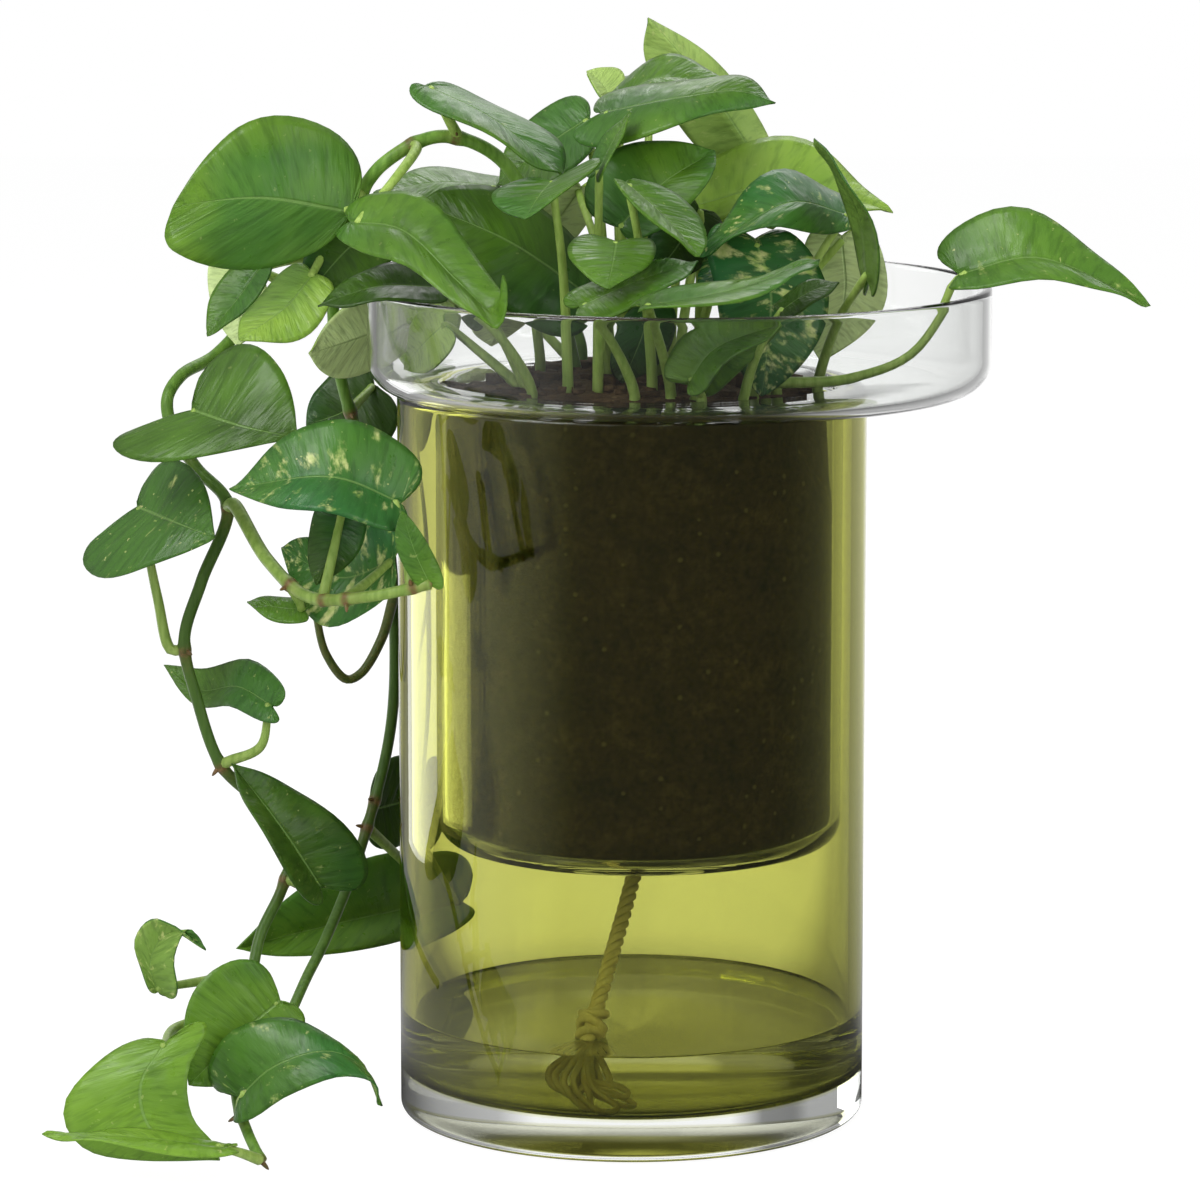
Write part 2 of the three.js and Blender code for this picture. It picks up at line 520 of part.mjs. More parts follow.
// Closes a grid of points with normals into a thin solid
function sheet(rows, thickness) {
  const columns = rows[0].length;
  const count = rows.length * columns;
  const positions = [];
  for (const sign of [0.5, -0.5]) {
    for (const { point, normal } of rows.flat()) {
      positions.push(...point.clone().addScaledVector(normal, sign * thickness).toArray());
    }
  }
  const index = [];
  const quad = (a, b, c, d) => index.push(a, b, c, a, c, d);
  for (let i = 0; i + 1 < rows.length; i += 1) {
    for (let j = 0; j + 1 < columns; j += 1) {
      const a = i * columns + j;
      quad(a, a + 1, a + columns + 1, a + columns);
      quad(count + a, count + a + columns, count + a + columns + 1, count + a + 1);
    }
  }
  const edge = [];
  for (let j = 0; j < columns; j += 1) edge.push(j);
  for (let i = 1; i < rows.length; i += 1) edge.push(i * columns + columns - 1);
  for (let j = columns - 2; j >= 0; j -= 1) edge.push((rows.length - 1) * columns + j);
  for (let i = rows.length - 2; i > 0; i -= 1) edge.push(i * columns);
  edge.forEach((a, k) => {
    const b = edge[(k + 1) % edge.length];
    quad(a, count + a, count + b, b);
  });
  const geometry = new THREE.BufferGeometry();
  geometry.setAttribute('position', new THREE.Float32BufferAttribute(positions, 3));
  geometry.setIndex(index);
  const solid = toSolid(geometry);
  if (solid.volume() > 0) return solid;
  index.reverse();
  geometry.setIndex(index);
  return toSolid(geometry);
}

// A leaf: its blade joined to a stalk that runs through the given points to the blade's base
function leaf(name, stalk, places, left, right) {
  const midrib = smooth(places);
  const inside = midrib.getPointAt(PETIOLE_RADIUS / midrib.getLength());
  const curve = smooth([...stalk, inside]);
  const steps = Math.max(PETIOLE_STEPS, Math.round(curve.getLength() / PETIOLE_STEP_LENGTH));
  const solid = tube(curve, PETIOLE_RADIUS, PETIOLE_SIDES, steps).add(blade(midrib, left, right));
  return node(name, solid, leafMaterial);
}

// Stalks fan out: the further a leaf is from the pot's axis, the further out its stalk leaves the soil
function soilRoot([x, y]) {
  const distance = Math.hypot(x, y) * plantStep;
  const spread = (ROOT_SPREAD * (1 - Math.exp(-distance / ROOT_REACH))) / distance;
  return [x * spread, y * spread];
}

function crownLeaf([name, places, left, right, rootPlace]) {
  const root = soil(rootPlace ?? soilRoot(places[0]));
  const end = crown(places[0]);
  const sprout = root.clone().setZ(root.z + SPROUT_LENGTH);
  const rise = root.clone().lerp(end, STALK_BEND_OUT);
  rise.z = THREE.MathUtils.lerp(root.z, end.z, STALK_BEND_UP);
  return leaf(name, [root, sprout, rise], places.map(crown), left, right);
}

function outlierLeaf([name, places, left, right]) {
  const root = soil(OUTLIER_ROOT);
  const sprout = root.clone().setZ(root.z + SPROUT_LENGTH);
  return leaf(name, [root, sprout, ...OUTLIER_STALK.map(farRim)], places.map(farRim), left, right);
}

// The place on a vine that lies nearest a leaf's base, as a share of the vine's length
function nearestShare(curve, place) {
  const samples = 200;
  let best = 0;
  let least = Infinity;
  for (let i = 0; i <= samples; i += 1) {
    const distance = curve.getPointAt(i / samples).distanceTo(place);
    if (distance < least) {
      least = distance;
      best = i / samples;
    }
  }
  return best;
}

// Where something branches off a vine: on the stem's surface, on the side that faces a place
function branch(curve, near, towards, gap) {
  const share = nearestShare(curve, near);
  const axis = curve.getPointAt(share);
  const tangent = curve.getTangentAt(share);
  const outward = towards.clone().sub(axis);
  outward.addScaledVector(tangent, -outward.dot(tangent)).normalize();
  return { root: axis.clone().addScaledVector(outward, STEM_RADIUS + gap), outward };
}

function trailLeaf([name, places, left, right, vine, start, pass]) {
  const end = trail(places[0]);
  const towards = pass ? trail(pass) : end;
  const { root, outward } = branch(vineCurves[vine], trail(start ?? places[0]), towards, STALK_SEAT_GAP);
  const sprout = root.clone().addScaledVector(outward, SPROUT_LENGTH);
  const rise = root.clone().lerp(end, 0.5).addScaledVector(outward, PETIOLE_RADIUS);
  const stalk = pass ? [root, sprout, trail(pass)] : [root, rise];
  return leaf(name, stalk, places.map(trail), left, right);
}

function vine(name, curve) {
  const steps = Math.round(curve.getLength() / STEM_STEP_LENGTH);
  const stem = tube(curve, STEM_RADIUS, STEM_SIDES, steps);
  if (name === 'vine_behind') return node(name, stem.add(loopStem()), stemMaterial);
  if (name === 'vine_shoot') return node(name, stem.add(shootLeaf()), stemMaterial);
  return node(name, stem, stemMaterial);
}

function loopStem() {
  const curve = smooth(LOOP_STEM.map(trail));
  return tube(curve, LOOP_STEM_RADIUS, PETIOLE_SIDES, 2 * LOOP_STEM.length);
}

function shootLeaf() {
  const [places, left, right] = SHOOT_LEAF;
  return blade(smooth(places.map(trail)), left, right);
}

const group = new THREE.Group();
group.name = 'self_watering_pot';
group.add(outerVessel(), planterInsert(), reservoirWater(), soilPlug(), wickRope(), wickKnot(), wickLoops());
for (const [name, curve] of Object.entries(vineCurves)) group.add(vine(name, curve));
for (const row of CROWN_LEAVES) group.add(crownLeaf(row));
group.add(outlierLeaf(OUTLIER_LEAF));
for (const row of TRAIL_LEAVES) group.add(trailLeaf(row));

export default group;
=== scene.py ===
"""Looks of the self-watering pot: glass, water, wick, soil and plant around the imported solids.

Sizes are in millimetres in the part's own frame, and meshes are written in metres.
"""
import math
import random

import bpy
import numpy as np
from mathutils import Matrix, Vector


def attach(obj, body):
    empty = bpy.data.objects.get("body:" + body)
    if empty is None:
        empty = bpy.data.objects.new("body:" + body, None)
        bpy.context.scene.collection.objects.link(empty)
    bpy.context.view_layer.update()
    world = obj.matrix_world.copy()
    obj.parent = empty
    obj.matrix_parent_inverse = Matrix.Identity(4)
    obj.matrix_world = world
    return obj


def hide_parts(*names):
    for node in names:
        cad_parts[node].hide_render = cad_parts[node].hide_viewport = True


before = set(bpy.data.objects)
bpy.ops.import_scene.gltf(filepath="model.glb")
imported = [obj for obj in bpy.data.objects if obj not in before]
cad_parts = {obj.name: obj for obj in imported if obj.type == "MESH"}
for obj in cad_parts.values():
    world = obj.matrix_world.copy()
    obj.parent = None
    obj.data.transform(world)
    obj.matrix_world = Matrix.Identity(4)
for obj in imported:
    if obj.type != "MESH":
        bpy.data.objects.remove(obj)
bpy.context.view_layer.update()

MM = 0.001

# Camera, fitted to the photograph
CAMERA_PLACE = (-10.9, -1830.1, 480.3)
CAMERA_PITCH = 0.164
CAMERA_LENS = 162.43
CAMERA_REACH = 50
SENSOR_WIDTH = 36

# Vessel
VESSEL_RADIUS = 80
VESSEL_HEIGHT = 250
VESSEL_BORE = 75
VESSEL_BASE = 13
BASE_EDGE_RADIUS = 3
FLOOR_CORNER_RADIUS = 10
LIP_RADIUS = 2.4
CASING_DEPTH = 1.2
# The floor's face sinks towards its middle: radius and drop
FLOOR_SAG = ((45, 0.3), (25, 0.6), (0, 0.8))
# How far straight walls end below the lip and start above a rounded underside
WALL_INSET = 5
WALL_FOOT = 14
WALL_STEPS = 22
GLASS_SEGMENTS = 160

# Planter
POT_X = 2.5
POT_RADIUS = 69.5
POT_BORE = 66.5
POT_UNDER = 94.3
POT_FLOOR = 98.3
POT_CORNER_RADIUS = 10
HOLE_RADIUS = 4.5
DISH_X = 16
DISH_RADIUS = 106
DISH_WALL = 3
DISH_UNDER = 250.3
DISH_FLOOR = 253.3
DISH_CORNER_RADIUS = 11
NECK_RADIUS = 4
RIM_Z = 286.3

# Contents
WATER_TOP = 36
WATER_OVERLAP = 0.15
WATER_DIP = 0.7
MENISCUS_WIDTH = 2.4
MENISCUS_CURVE = 2.2
SOIL_RADIUS = 66.1
SOIL_BOTTOM = 98.7
SOIL_EDGE = 248.3
SOIL_MOUND = 9
SOIL_GAP = 0.6
SOIL_RELIEF = (2.2, 1.2)
SOIL_PITS = 0.55
# The broken edge on the dish's wide side: bearing, spread, height, depth and roughness
BITE_BEARING = -0.42
BITE_SPREAD = 0.30
BITE_HEIGHT = 34
BITE_DEPTH = 9
BITE_ROUGH = 5
CRUMB_COUNT = 150
CRUMB_SIZE = (1.2, 3.2)

# Wick
WICK_DIAMETER = 5
WICK_STRANDS = 3
WICK_LAY = 11
# Radius of a laid strand and its distance from the wick's line, as shares of the wick's diameter
STRAND_SHARE = 0.255
LAY_SHARE = 0.30
STRAND_DIAMETER = 2.3
WICK_ROUTE = (
    (2.5, 0, 120.3), (2.5, 0, 109.3), (2.5, 0, 94.0), (1.6, -2.6, 86.0), (-2.2, -12.9, 73.0),
    (-7.7, -28.0, 56.5), (-13.2, -43.0, 40.0),
)
# Wraps of the knot: place along the rope, radius, lean, where the wrap starts
KNOT_WRAPS = ((-3.0, 3.4, 0.5, 0.4), (-0.2, 4.2, -0.55, 1.9), (2.6, 4.0, 0.45, 3.6), (5.2, 3.2, -0.3, 5.0))
KNOT_STRAND_RADIUS = 1.5
KNOT_CORE_RADIUS = 2.6
KNOT_CORE_ENDS = (-0.5, 8.0)
WRAP_SWEEP = 2.15
# Loops under the knot: how far in front, then places across and down, 0 at the knot and 1 on the floor
LOOPS_TOP = (-49, 31)
LOOPS_FORWARD = 15
LOOPS_DROP = 16
WICK_LOOPS = (
    (0.0, ((-16, -0.1), (-22, 0.08), (-26, 0.3), (-25.5, 0.5), (-22.5, 0.62), (-18, 0.55), (-15, 0.2),
     (-13.5, -0.1))),
    (1.6, ((-15.5, -0.1), (-20.5, 0.1), (-24, 0.34), (-23.4, 0.52), (-20, 0.7), (-16, 0.6), (-13.5, 0.2),
     (-13, -0.1))),
    (3.0, ((-15, -0.1), (-19, 0.14), (-21.6, 0.4), (-20.4, 0.62), (-17.5, 0.84), (-14.2, 0.95),
     (-13.5, 0.7), (-15, 0.4), (-14, -0.1))),
    (4.4, ((-14.5, -0.1), (-17, 0.16), (-18.6, 0.42), (-16.6, 0.68), (-12.5, 0.92), (-7.5, 1.0),
     (-5.0, 0.9), (-8.0, 0.74), (-12.5, 0.5), (-14, -0.1))),
    (2.0, ((-13, -0.1), (-13.8, 0.3), (-11.5, 0.52), (-6.5, 0.62), (-1.2, 0.8), (0.6, 0.9), (-2.0, 0.92),
     (-7.5, 0.8), (-11.6, 0.66), (-13.5, 0.3), (-12.5, -0.1))),
    (3.8, ((-12, -0.1), (-13.2, 0.36), (-10.2, 0.44), (-5.2, 0.48), (-1.6, 0.62), (-2.6, 0.7),
     (-7.2, 0.64), (-11.2, 0.56), (-12.8, 0.2), (-12, -0.1))),
    (0.6, ((-11.5, -0.1), (-9.4, 0.08), (-8.0, 0.26), (-7.2, 0.44), (-9.0, 0.5), (-10.8, 0.26),
     (-11.8, -0.1))),
)

# Plant
STEM_RADIUS = 2.2
STUB_DISTANCES = (1.0, 2.6, 3.8, 4.6)
STUB_RADII = (0.9, 0.75, 0.55, 0.25)
PETIOLE_RADIUS = 1.4
# Radius at the foot and how much less at the far end, as shares of the plain radius
STEM_TAPER = (1.08, 0.25)
STALK_TAPER = (1.40, 0.50)
# A stalk's collar: swelling, place along the stalk and width
STALK_COLLAR = (0.12, 0.93, 0.05)
# A stem's joint: swelling and width, then strength, place and width of its two brown marks
JOINT_SWELL = (0.22, 2.2)
JOINT_MARKS = ((1.0, 1, 1.6), (0.22, 4, 4.0))
LEAF_THICKNESS = 0.6
SPROUT_LENGTH = 4
STALK_BEND_OUT = 0.4
STALK_BEND_UP = 0.62
ROOT_SPREAD = 46
ROOT_REACH = 60
STALK_GAP = 0.6
LEAF_RIBS = 30
LEAF_STEPS = 8
MIDRIB_POINTS = 60
# A blade's relief as shares of its length: the edge's ripple, the puff between ribs and edge, the quilting
RIPPLE_SHARE = 0.018
PUFF_SHARE = 0.012
QUILT_SHARE = 0.0035
RIPPLES = 2.3
QUILTS = 11
STALK_SET = 2
# How much darker the stems are by height
STEM_DARKENING = ((0.02, 0.3), (0.07, 1.0), (0.20, 1.0), (0.29, 0.0))

# Studio
SOFT_LIGHT = 0.38
OVERHEAD = 0.4
# The floor's level by distance from the vessel's axis, as glass shows it: a painted shadow, dark under the
# vessel and in a ring round it
FLOOR_PAINTED_SHADOW = ((0.0, 0.45), (0.045, 0.40), (0.065, 0.10), (0.10, 0.12), (0.15, 0.9), (0.18, 1.0))
# Painted shade in the casing on its far side: how much light it passes by height, from the floor's face up
# the wall, least below the waterline
CASING_PAINTED_SHADE = ((0.0, 1.0), (0.0125, 1.0), (0.016, 0.35), (0.034, 0.4), (0.045, 0.9), (0.06, 1.0))
# Where the casing's colour, pooled mid-floor, thins out: by radius, and by height up the corner
POOL_EDGE = (0.036, 0.046)
POOL_TOP = (0.0125, 0.0150)
# Colour of the casing where it is thin, and where the far side begins by depth
THIN_CASING = (0.96, 0.96, 0.86, 1)
CASING_FAR = (-0.02, 0.03)
FLOOR_WHITE = 0.93
FLOOR_HALF = 4
FLOOR_LOW = -0.0004
SHADOW_SHARE = 0.16

FULL_TURN = 6.283
rng = random.Random(7)
scene = bpy.context.scene


def vec(*values):
    return np.array(values, float)


def unit(vector):
    return vector / np.linalg.norm(vector)


def units(vectors):
    return vectors / np.linalg.norm(vectors, axis=1)[:, None]


# Camera

def make_camera():
    data = bpy.data.cameras.new("photo_camera")
    data.lens = CAMERA_LENS
    data.sensor_width = SENSOR_WIDTH
    data.clip_end = CAMERA_REACH
    camera = bpy.data.objects.new("photo_camera", data)
    camera.location = Vector(CAMERA_PLACE) * MM
    camera.rotation_euler = (math.pi / 2 - CAMERA_PITCH, 0, 0)
    scene.collection.objects.link(camera)
    scene.camera = camera


make_camera()


# Node trees

def grey(level):
    return (level, level, level, 1)


class Nodes:
    """Adds nodes to one shader tree and links them to the sockets of its last node."""

    def __init__(self, tree, last):
        self.tree = tree
        self.sockets = tree.nodes[last].inputs

    def link(self, output, name):
        self.tree.links.new(output, self.sockets[name])

    def add(self, kind, inputs=None, **settings):
        """A node's outputs; each of its inputs is a constant or another node's output."""
        made = self.tree.nodes.new(kind)
        for name, value in settings.items():
            setattr(made, name, value)
        for name, value in (inputs or {}).items():
            if isinstance(value, bpy.types.NodeSocket):
                self.tree.links.new(value, made.inputs[name])
            else:
                made.inputs[name].default_value = value
        return made.outputs

    def calc(self, operation, *values, clamp=False):
        return self.add("ShaderNodeMath", dict(enumerate(values)), operation=operation, use_clamp=clamp)[0]

    def times(self, first, second, clamp=False):
        return self.calc("MULTIPLY", first, second, clamp=clamp)

    def plus(self, first, second, clamp=False):
        return self.calc("ADD", first, second, clamp=clamp)

    def less(self, first, second):
        return self.calc("SUBTRACT", first, second)

    def split(self, vector):
        return self.add("ShaderNodeSeparateXYZ", {0: vector})

    def attribute(self, name):
        return self.add("ShaderNodeAttribute", attribute_name=name)

    def upright(self, place, share):
        """Places with their height scaled, for marks that run up and down."""
        return self.add("ShaderNodeMapping", {"Vector": place, "Scale": (1, 1, share)})["Vector"]

    def blend(self, share, first, second, mode="MIX"):
        inputs = {0: share, 6: first, 7: second}
        return self.add("ShaderNodeMix", inputs, data_type="RGBA", blend_type=mode)[2]

    def ramp(self, value, *stops):
        """A colour by value, from stops that pair a value with a colour or a grey level."""
        made = self.tree.nodes.new("ShaderNodeValToRGB")
        self.tree.links.new(value, made.inputs["Fac"])
        elements = made.color_ramp.elements
        while len(elements) < len(stops):
            elements.new(1.0)
        for element, (place, colour) in zip(elements, stops):
            element.position = place
            element.color = (*colour, 1) if isinstance(colour, tuple) else grey(colour)
        return made.outputs["Color"]

    def noise(self, place, scale, detail=3, roughness=0.55):
        inputs = {"Vector": place, "Scale": scale, "Detail": detail, "Roughness": roughness}
        return self.add("ShaderNodeTexNoise", inputs)["Fac"]

    def stretch(self, value, low, high, low_to=0.0, high_to=1.0):
        inputs = {"Value": value, "From Min": low, "From Max": high, "To Min": low_to, "To Max": high_to}
        return self.add("ShaderNodeMapRange", inputs, interpolation_type="SMOOTHSTEP")["Result"]

    def bump(self, height, strength, distance):
        inputs = {"Height": height, "Strength": strength, "Distance": distance * MM}
        self.link(self.add("ShaderNodeBump", inputs)["Normal"], "Normal")

    def glow(self, kind, colour, strength):
        return self.add(kind, {"Color": colour, "Strength": strength})[0]

    def mix(self, share, first, second):
        return self.add("ShaderNodeMixShader", {0: share, 1: first, 2: second})[0]


def new_material(name, **constants):
    """A material with one principled shader; constants are set on its own sockets."""
    material = bpy.data.materials.new(name)
    material.use_nodes = True
    net = Nodes(material.node_tree, "Principled BSDF")
    for key, value in constants.items():
        net.sockets[key.replace("_", " ")].default_value = value
    return material, net, net.add("ShaderNodeTexCoord")["Object"]


# Materials

def glass_material(name, tint, ior, wave, smear):
    """Clear glass with slight flow lines and a trace of smears."""
    material, net, place = new_material(name, Transmission_Weight=1.0, IOR=ior, Base_Color=(*tint, 1))
    net.bump(net.noise(net.upright(place, 0.3), 22, 1), 0.35, wave)
    net.link(net.stretch(net.noise(place, 45, 4), 0.5, 0.8, 0.0, smear), "Roughness")
    return material


def lining_material():
    """The olive-yellow layer cased in the wall, pooled mid-floor; it tints light and doesn't bend it. Its
    far side carries a painted shade, darkest from just above the floor's face to above the waterline.
    """
    material, net, place = new_material("vessel_lining", Transmission_Weight=1.0, IOR=1.0, Roughness=0.0)
    colour = net.ramp(net.noise(place, 9, 2), (0.3, (0.60, 0.60, 0.115)), (0.7, (0.66, 0.655, 0.145)))
    aside, depth, height = net.split(place)
    out = net.calc("SQRT", net.calc("MULTIPLY_ADD", aside, aside, net.times(depth, depth)))
    thin = net.times(net.stretch(out, *POOL_EDGE), net.stretch(height, *POOL_TOP, 1.0, 0.0))
    colour = net.blend(thin, colour, THIN_CASING)
    # Painted shade: on the far side the casing passes less light by height, which darkens the view through
    # the water
    thick = net.ramp(height, *CASING_PAINTED_SHADE)
    net.link(net.blend(net.stretch(depth, *CASING_FAR), colour, thick, "MULTIPLY"), "Base Color")
    return material


def soil_material():
    """Dark bark mix with a few pale flecks."""
    material, net, place = new_material("soil_crumb", Roughness=0.92, Specular_IOR_Level=0.2)
    coarse = net.noise(place, 60, 6, 0.7)
    fine = net.noise(place, 420, 5, 0.7)
    base = net.ramp(coarse, (0.3, (0.055, 0.034, 0.015)), (0.55, (0.112, 0.070, 0.031)),
                    (0.75, (0.20, 0.132, 0.064)))
    base = net.blend(0.6, base, net.ramp(fine, (0.35, 0.2), (0.7, (1, 0.95, 0.85))), "MULTIPLY")
    grains = net.add("ShaderNodeTexVoronoi", {"Vector": place, "Scale": 330, "Randomness": 1.0})
    red = net.add("ShaderNodeSeparateColor", {"Color": grains["Color"]})[0]
    fleck = net.times(net.calc("GREATER_THAN", red, 0.94), net.calc("LESS_THAN", grains["Distance"], 0.28))
    net.link(net.blend(net.times(fleck, 0.55), base, (0.21, 0.15, 0.07, 1)), "Base Color")
    net.bump(net.plus(fine, net.times(coarse, 1.5)), 0.9, 1.2)
    return material


def cotton_material():
    """Undyed yarn with fibres along it."""
    material, net, place = new_material("cotton_yarn", Roughness=0.9, Sheen_Weight=0.25)
    fibres = net.noise(net.upright(place, 0.35), 1500, 3)
    colour = net.ramp(net.noise(place, 120, 3), (0.3, (0.72, 0.64, 0.42)), (0.7, (0.83, 0.77, 0.56)))
    shade = net.ramp(fibres, (0.3, (0.78, 0.76, 0.72)), (0.6, (1, 1, 1)))
    net.link(net.blend(0.7, colour, shade, "MULTIPLY"), "Base Color")
    net.bump(fibres, 0.6, 0.3)
    return material


def stem_material(name, deep, pale, darkening):
    """Green stem with pale streaks, darker low down; the attribute 'node' marks brown joints and sheaths."""
    material, net, place = new_material(name, Roughness=0.42, Specular_IOR_Level=0.3)
    joint = net.attribute("node")["Fac"]
    streaks = net.noise(net.upright(place, 0.12), 500, 3)
    low = net.ramp(net.split(place)[2], *((z, darkening * share) for z, share in STEM_DARKENING))
    green = net.blend(low, net.ramp(streaks, (0.3, deep), (0.65, pale)), (0.028, 0.062, 0.009, 1))
    specks = net.noise(place, 700, 4)
    brown = net.ramp(specks, (0.3, (0.060, 0.028, 0.010)), (0.7, (0.20, 0.115, 0.045)))
    worn = net.times(joint, net.stretch(specks, 0.25, 0.6, 0.6, 1.0), clamp=True)
    net.link(net.blend(worn, green, brown), "Base Color")
    net.bump(net.plus(streaks, net.times(specks, joint)), 0.5, 0.4)
    return material


def leaf_material(name, greens, shine, rough, emerald):
    """Leaf skin. 'rib' holds the place along and across the blade, 'look' its cream share, tone and seed;
    the tone is partly painted light and shade.
    """
    material, net, place = new_material(name, Specular_IOR_Level=shine)
    along, across, _ = net.split(net.attribute("rib")["Vector"])
    cream_share, tone, seed = net.split(net.attribute("look")["Vector"])

    def marks(lengthwise, crosswise, detail, roughness):
        """Noise in the blade's own places, which makes bands along the side ribs."""
        spot = {0: net.times(along, lengthwise), 1: net.times(across, crosswise), 2: seed}
        return net.noise(net.add("ShaderNodeCombineXYZ", spot)[0], 1.0, detail, roughness)

    # The tone lifts or darkens the whole blade: partly the leaf's own tone, partly painted back light and
    # painted shade
    shade = net.plus(net.times(net.noise(place, 38, 3), 0.5), tone)
    green = net.ramp(shade, *zip((0.08, 0.36, 0.70, 1.0), greens))
    if emerald:
        deep = net.stretch(net.noise(place, 17, 1), 0.50, 0.66, 0.0, 0.35)
        deep = net.plus(deep, net.stretch(cream_share, 0.2, 0.6, 0.0, 0.45), clamp=True)
        green = net.blend(deep, green, (0.012, 0.122, 0.032, 1))

    ridges = marks(46.0, 1.5, 3, 0.6)
    # Painted light and shade: the colour is lighter on the ridges along the side ribs and darker in the
    # grooves between them, following the bump
    ridge_light_and_shade = net.ramp(ridges, (0.32, (0.62, 0.66, 0.62)), (0.52, (1, 1, 1)), (0.70, (1.0, 1.0, 0.92)))
    green = net.blend(0.85, green, ridge_light_and_shade, "MULTIPLY")
    rib_line = net.stretch(net.calc("ABSOLUTE", across), 0.034, 0.010)
    green = net.blend(net.times(rib_line, 0.5), green, (0.19, 0.33, 0.085, 1))

    limit = net.less(0.80, net.times(cream_share, 0.42))
    cream = net.stretch(net.less(marks(21.0, 2.0, 4, 0.6), limit), -0.04, 0.13)
    specks = net.stretch(net.noise(place, 430, 2), 0.69, 0.74)
    specks = net.times(specks, net.stretch(cream_share, 0.0, 0.4, 0.15, 0.7))
    cream = net.calc("MAXIMUM", cream, specks)
    yellow = net.ramp(net.noise(place, 300, 2), (0.35, (0.34, 0.47, 0.10)), (0.65, (0.70, 0.70, 0.30)))
    net.link(net.blend(net.times(cream, 0.75), green, yellow), "Base Color")

    net.link(net.stretch(net.noise(place, 160, 3), 0.3, 0.7, *rough), "Roughness")
    height = net.plus(net.times(marks(13.0, 1.2, 2, 0.5), 2.2), net.times(ridges, 0.6))
    net.bump(net.less(height, net.times(rib_line, 0.8)), 0.55, 0.9)
    return material


CLEAR = glass_material("vessel_clear", (0.965, 0.98, 0.965), 1.5, 0.25, 0.05)
LINING = lining_material()
PLANTER_GLASS = glass_material("planter_clear", (0.97, 0.98, 0.97), 1.5, 0.35, 0.05)
WATER = glass_material("water_clear", (0.66, 0.67, 0.55), 1.333, 0.12, 0.0)
SOIL = soil_material()
COTTON = cotton_material()
STALK = stem_material("stalk_skin", (0.225, 0.370, 0.056), (0.390, 0.550, 0.128), 0.4)
STEM = stem_material("stem_skin", (0.088, 0.208, 0.020), (0.185, 0.360, 0.052), 0.8)
LEAF_TOP = leaf_material("leaf_top", (
    (0.030, 0.073, 0.008), (0.079, 0.184, 0.015), (0.188, 0.352, 0.031), (0.33, 0.50, 0.085),
), 0.34, (0.27, 0.42), True)
LEAF_UNDER = leaf_material("leaf_under", (
    (0.090, 0.170, 0.028), (0.180, 0.315, 0.054), (0.40, 0.57, 0.150), (0.60, 0.74, 0.33),
), 0.25, (0.45, 0.6), False)


# Meshes

class Parts:
    """Collects points and faces, in millimetres, with a material number per face and values per point."""

    def __init__(self):
        self.points, self.faces, self.skins = [], [], []
        self.values = {}

    def add(self, points, faces, skin=0, **values):
        """Takes one material number for all the faces, or a list of them."""
        start = len(self.points)
        self.points.extend(points)
        self.faces.extend([tuple(start + i for i in face) for face in faces])
        self.skins.extend(skin if isinstance(skin, list) else [skin] * len(faces))
        for name, rows in values.items():
            self.values.setdefault(name, {}).update({start + i: row for i, row in enumerate(rows)})

    def build(self, name, materials, body, slot, *nodes):
        """Makes the piece, which rides on a body and stands in for the nodes."""
        mesh = bpy.data.meshes.new(name)
        mesh.from_pydata([Vector(point) * MM for point in self.points], [], self.faces)
        for material in materials:
            mesh.materials.append(material)
        mesh.polygons.foreach_set("material_index", self.skins)
        mesh.polygons.foreach_set("use_smooth", [True] * len(self.faces))
        for key, rows in self.values.items():
            flat = isinstance(next(iter(rows.values())), float)
            layer = mesh.attributes.new(key, "FLOAT" if flat else "FLOAT_VECTOR", "POINT")
            blank = 0.0 if flat else (0.0, 0.0, 0.0)
            full = [rows.get(i, blank) for i in range(len(self.points))]
            layer.data.foreach_set("value" if flat else "vector", np.array(full, np.float32).ravel())
        mesh.validate()
        mesh.update()
        made = bpy.data.objects.new(name, mesh)
        scene.collection.objects.link(made)
        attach(made, body)
        if nodes:
            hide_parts(*nodes)
        return made


def arc(cx, cz, radius, first, last, steps=10):
    """Points of a round corner in a profile, between two angles in degrees."""
    angles = np.radians(np.linspace(first, last, steps + 1))
    return [(cx + radius * math.cos(a), cz + radius * math.sin(a)) for a in angles]


def joined(corners):
    """A face without the corners that fall together, or none when fewer than three are left."""
    face = list(dict.fromkeys(corners))
    return [face] if len(face) > 2 else []


def revolve(rings, segments, close):
    """Points and faces of rings (radius, height, centre x); a radius of 0 is a pole."""
    points, rows, faces = [], [], []
    for radius, height, centre in rings:
        count = 1 if radius == 0 else segments
        rows.append([len(points) + k % count for k in range(segments)])
        for k in range(count):
            angle = 2 * math.pi * k / segments
            points.append((centre + radius * math.cos(angle), radius * math.sin(angle), height))
    for low, high in zip(rows, rows[1:] + rows[:1] if close else rows[1:]):
        for k in range(segments):
            n = (k + 1) % segments
            faces += joined([low[k], low[n], high[n], high[k]])
    return points, faces


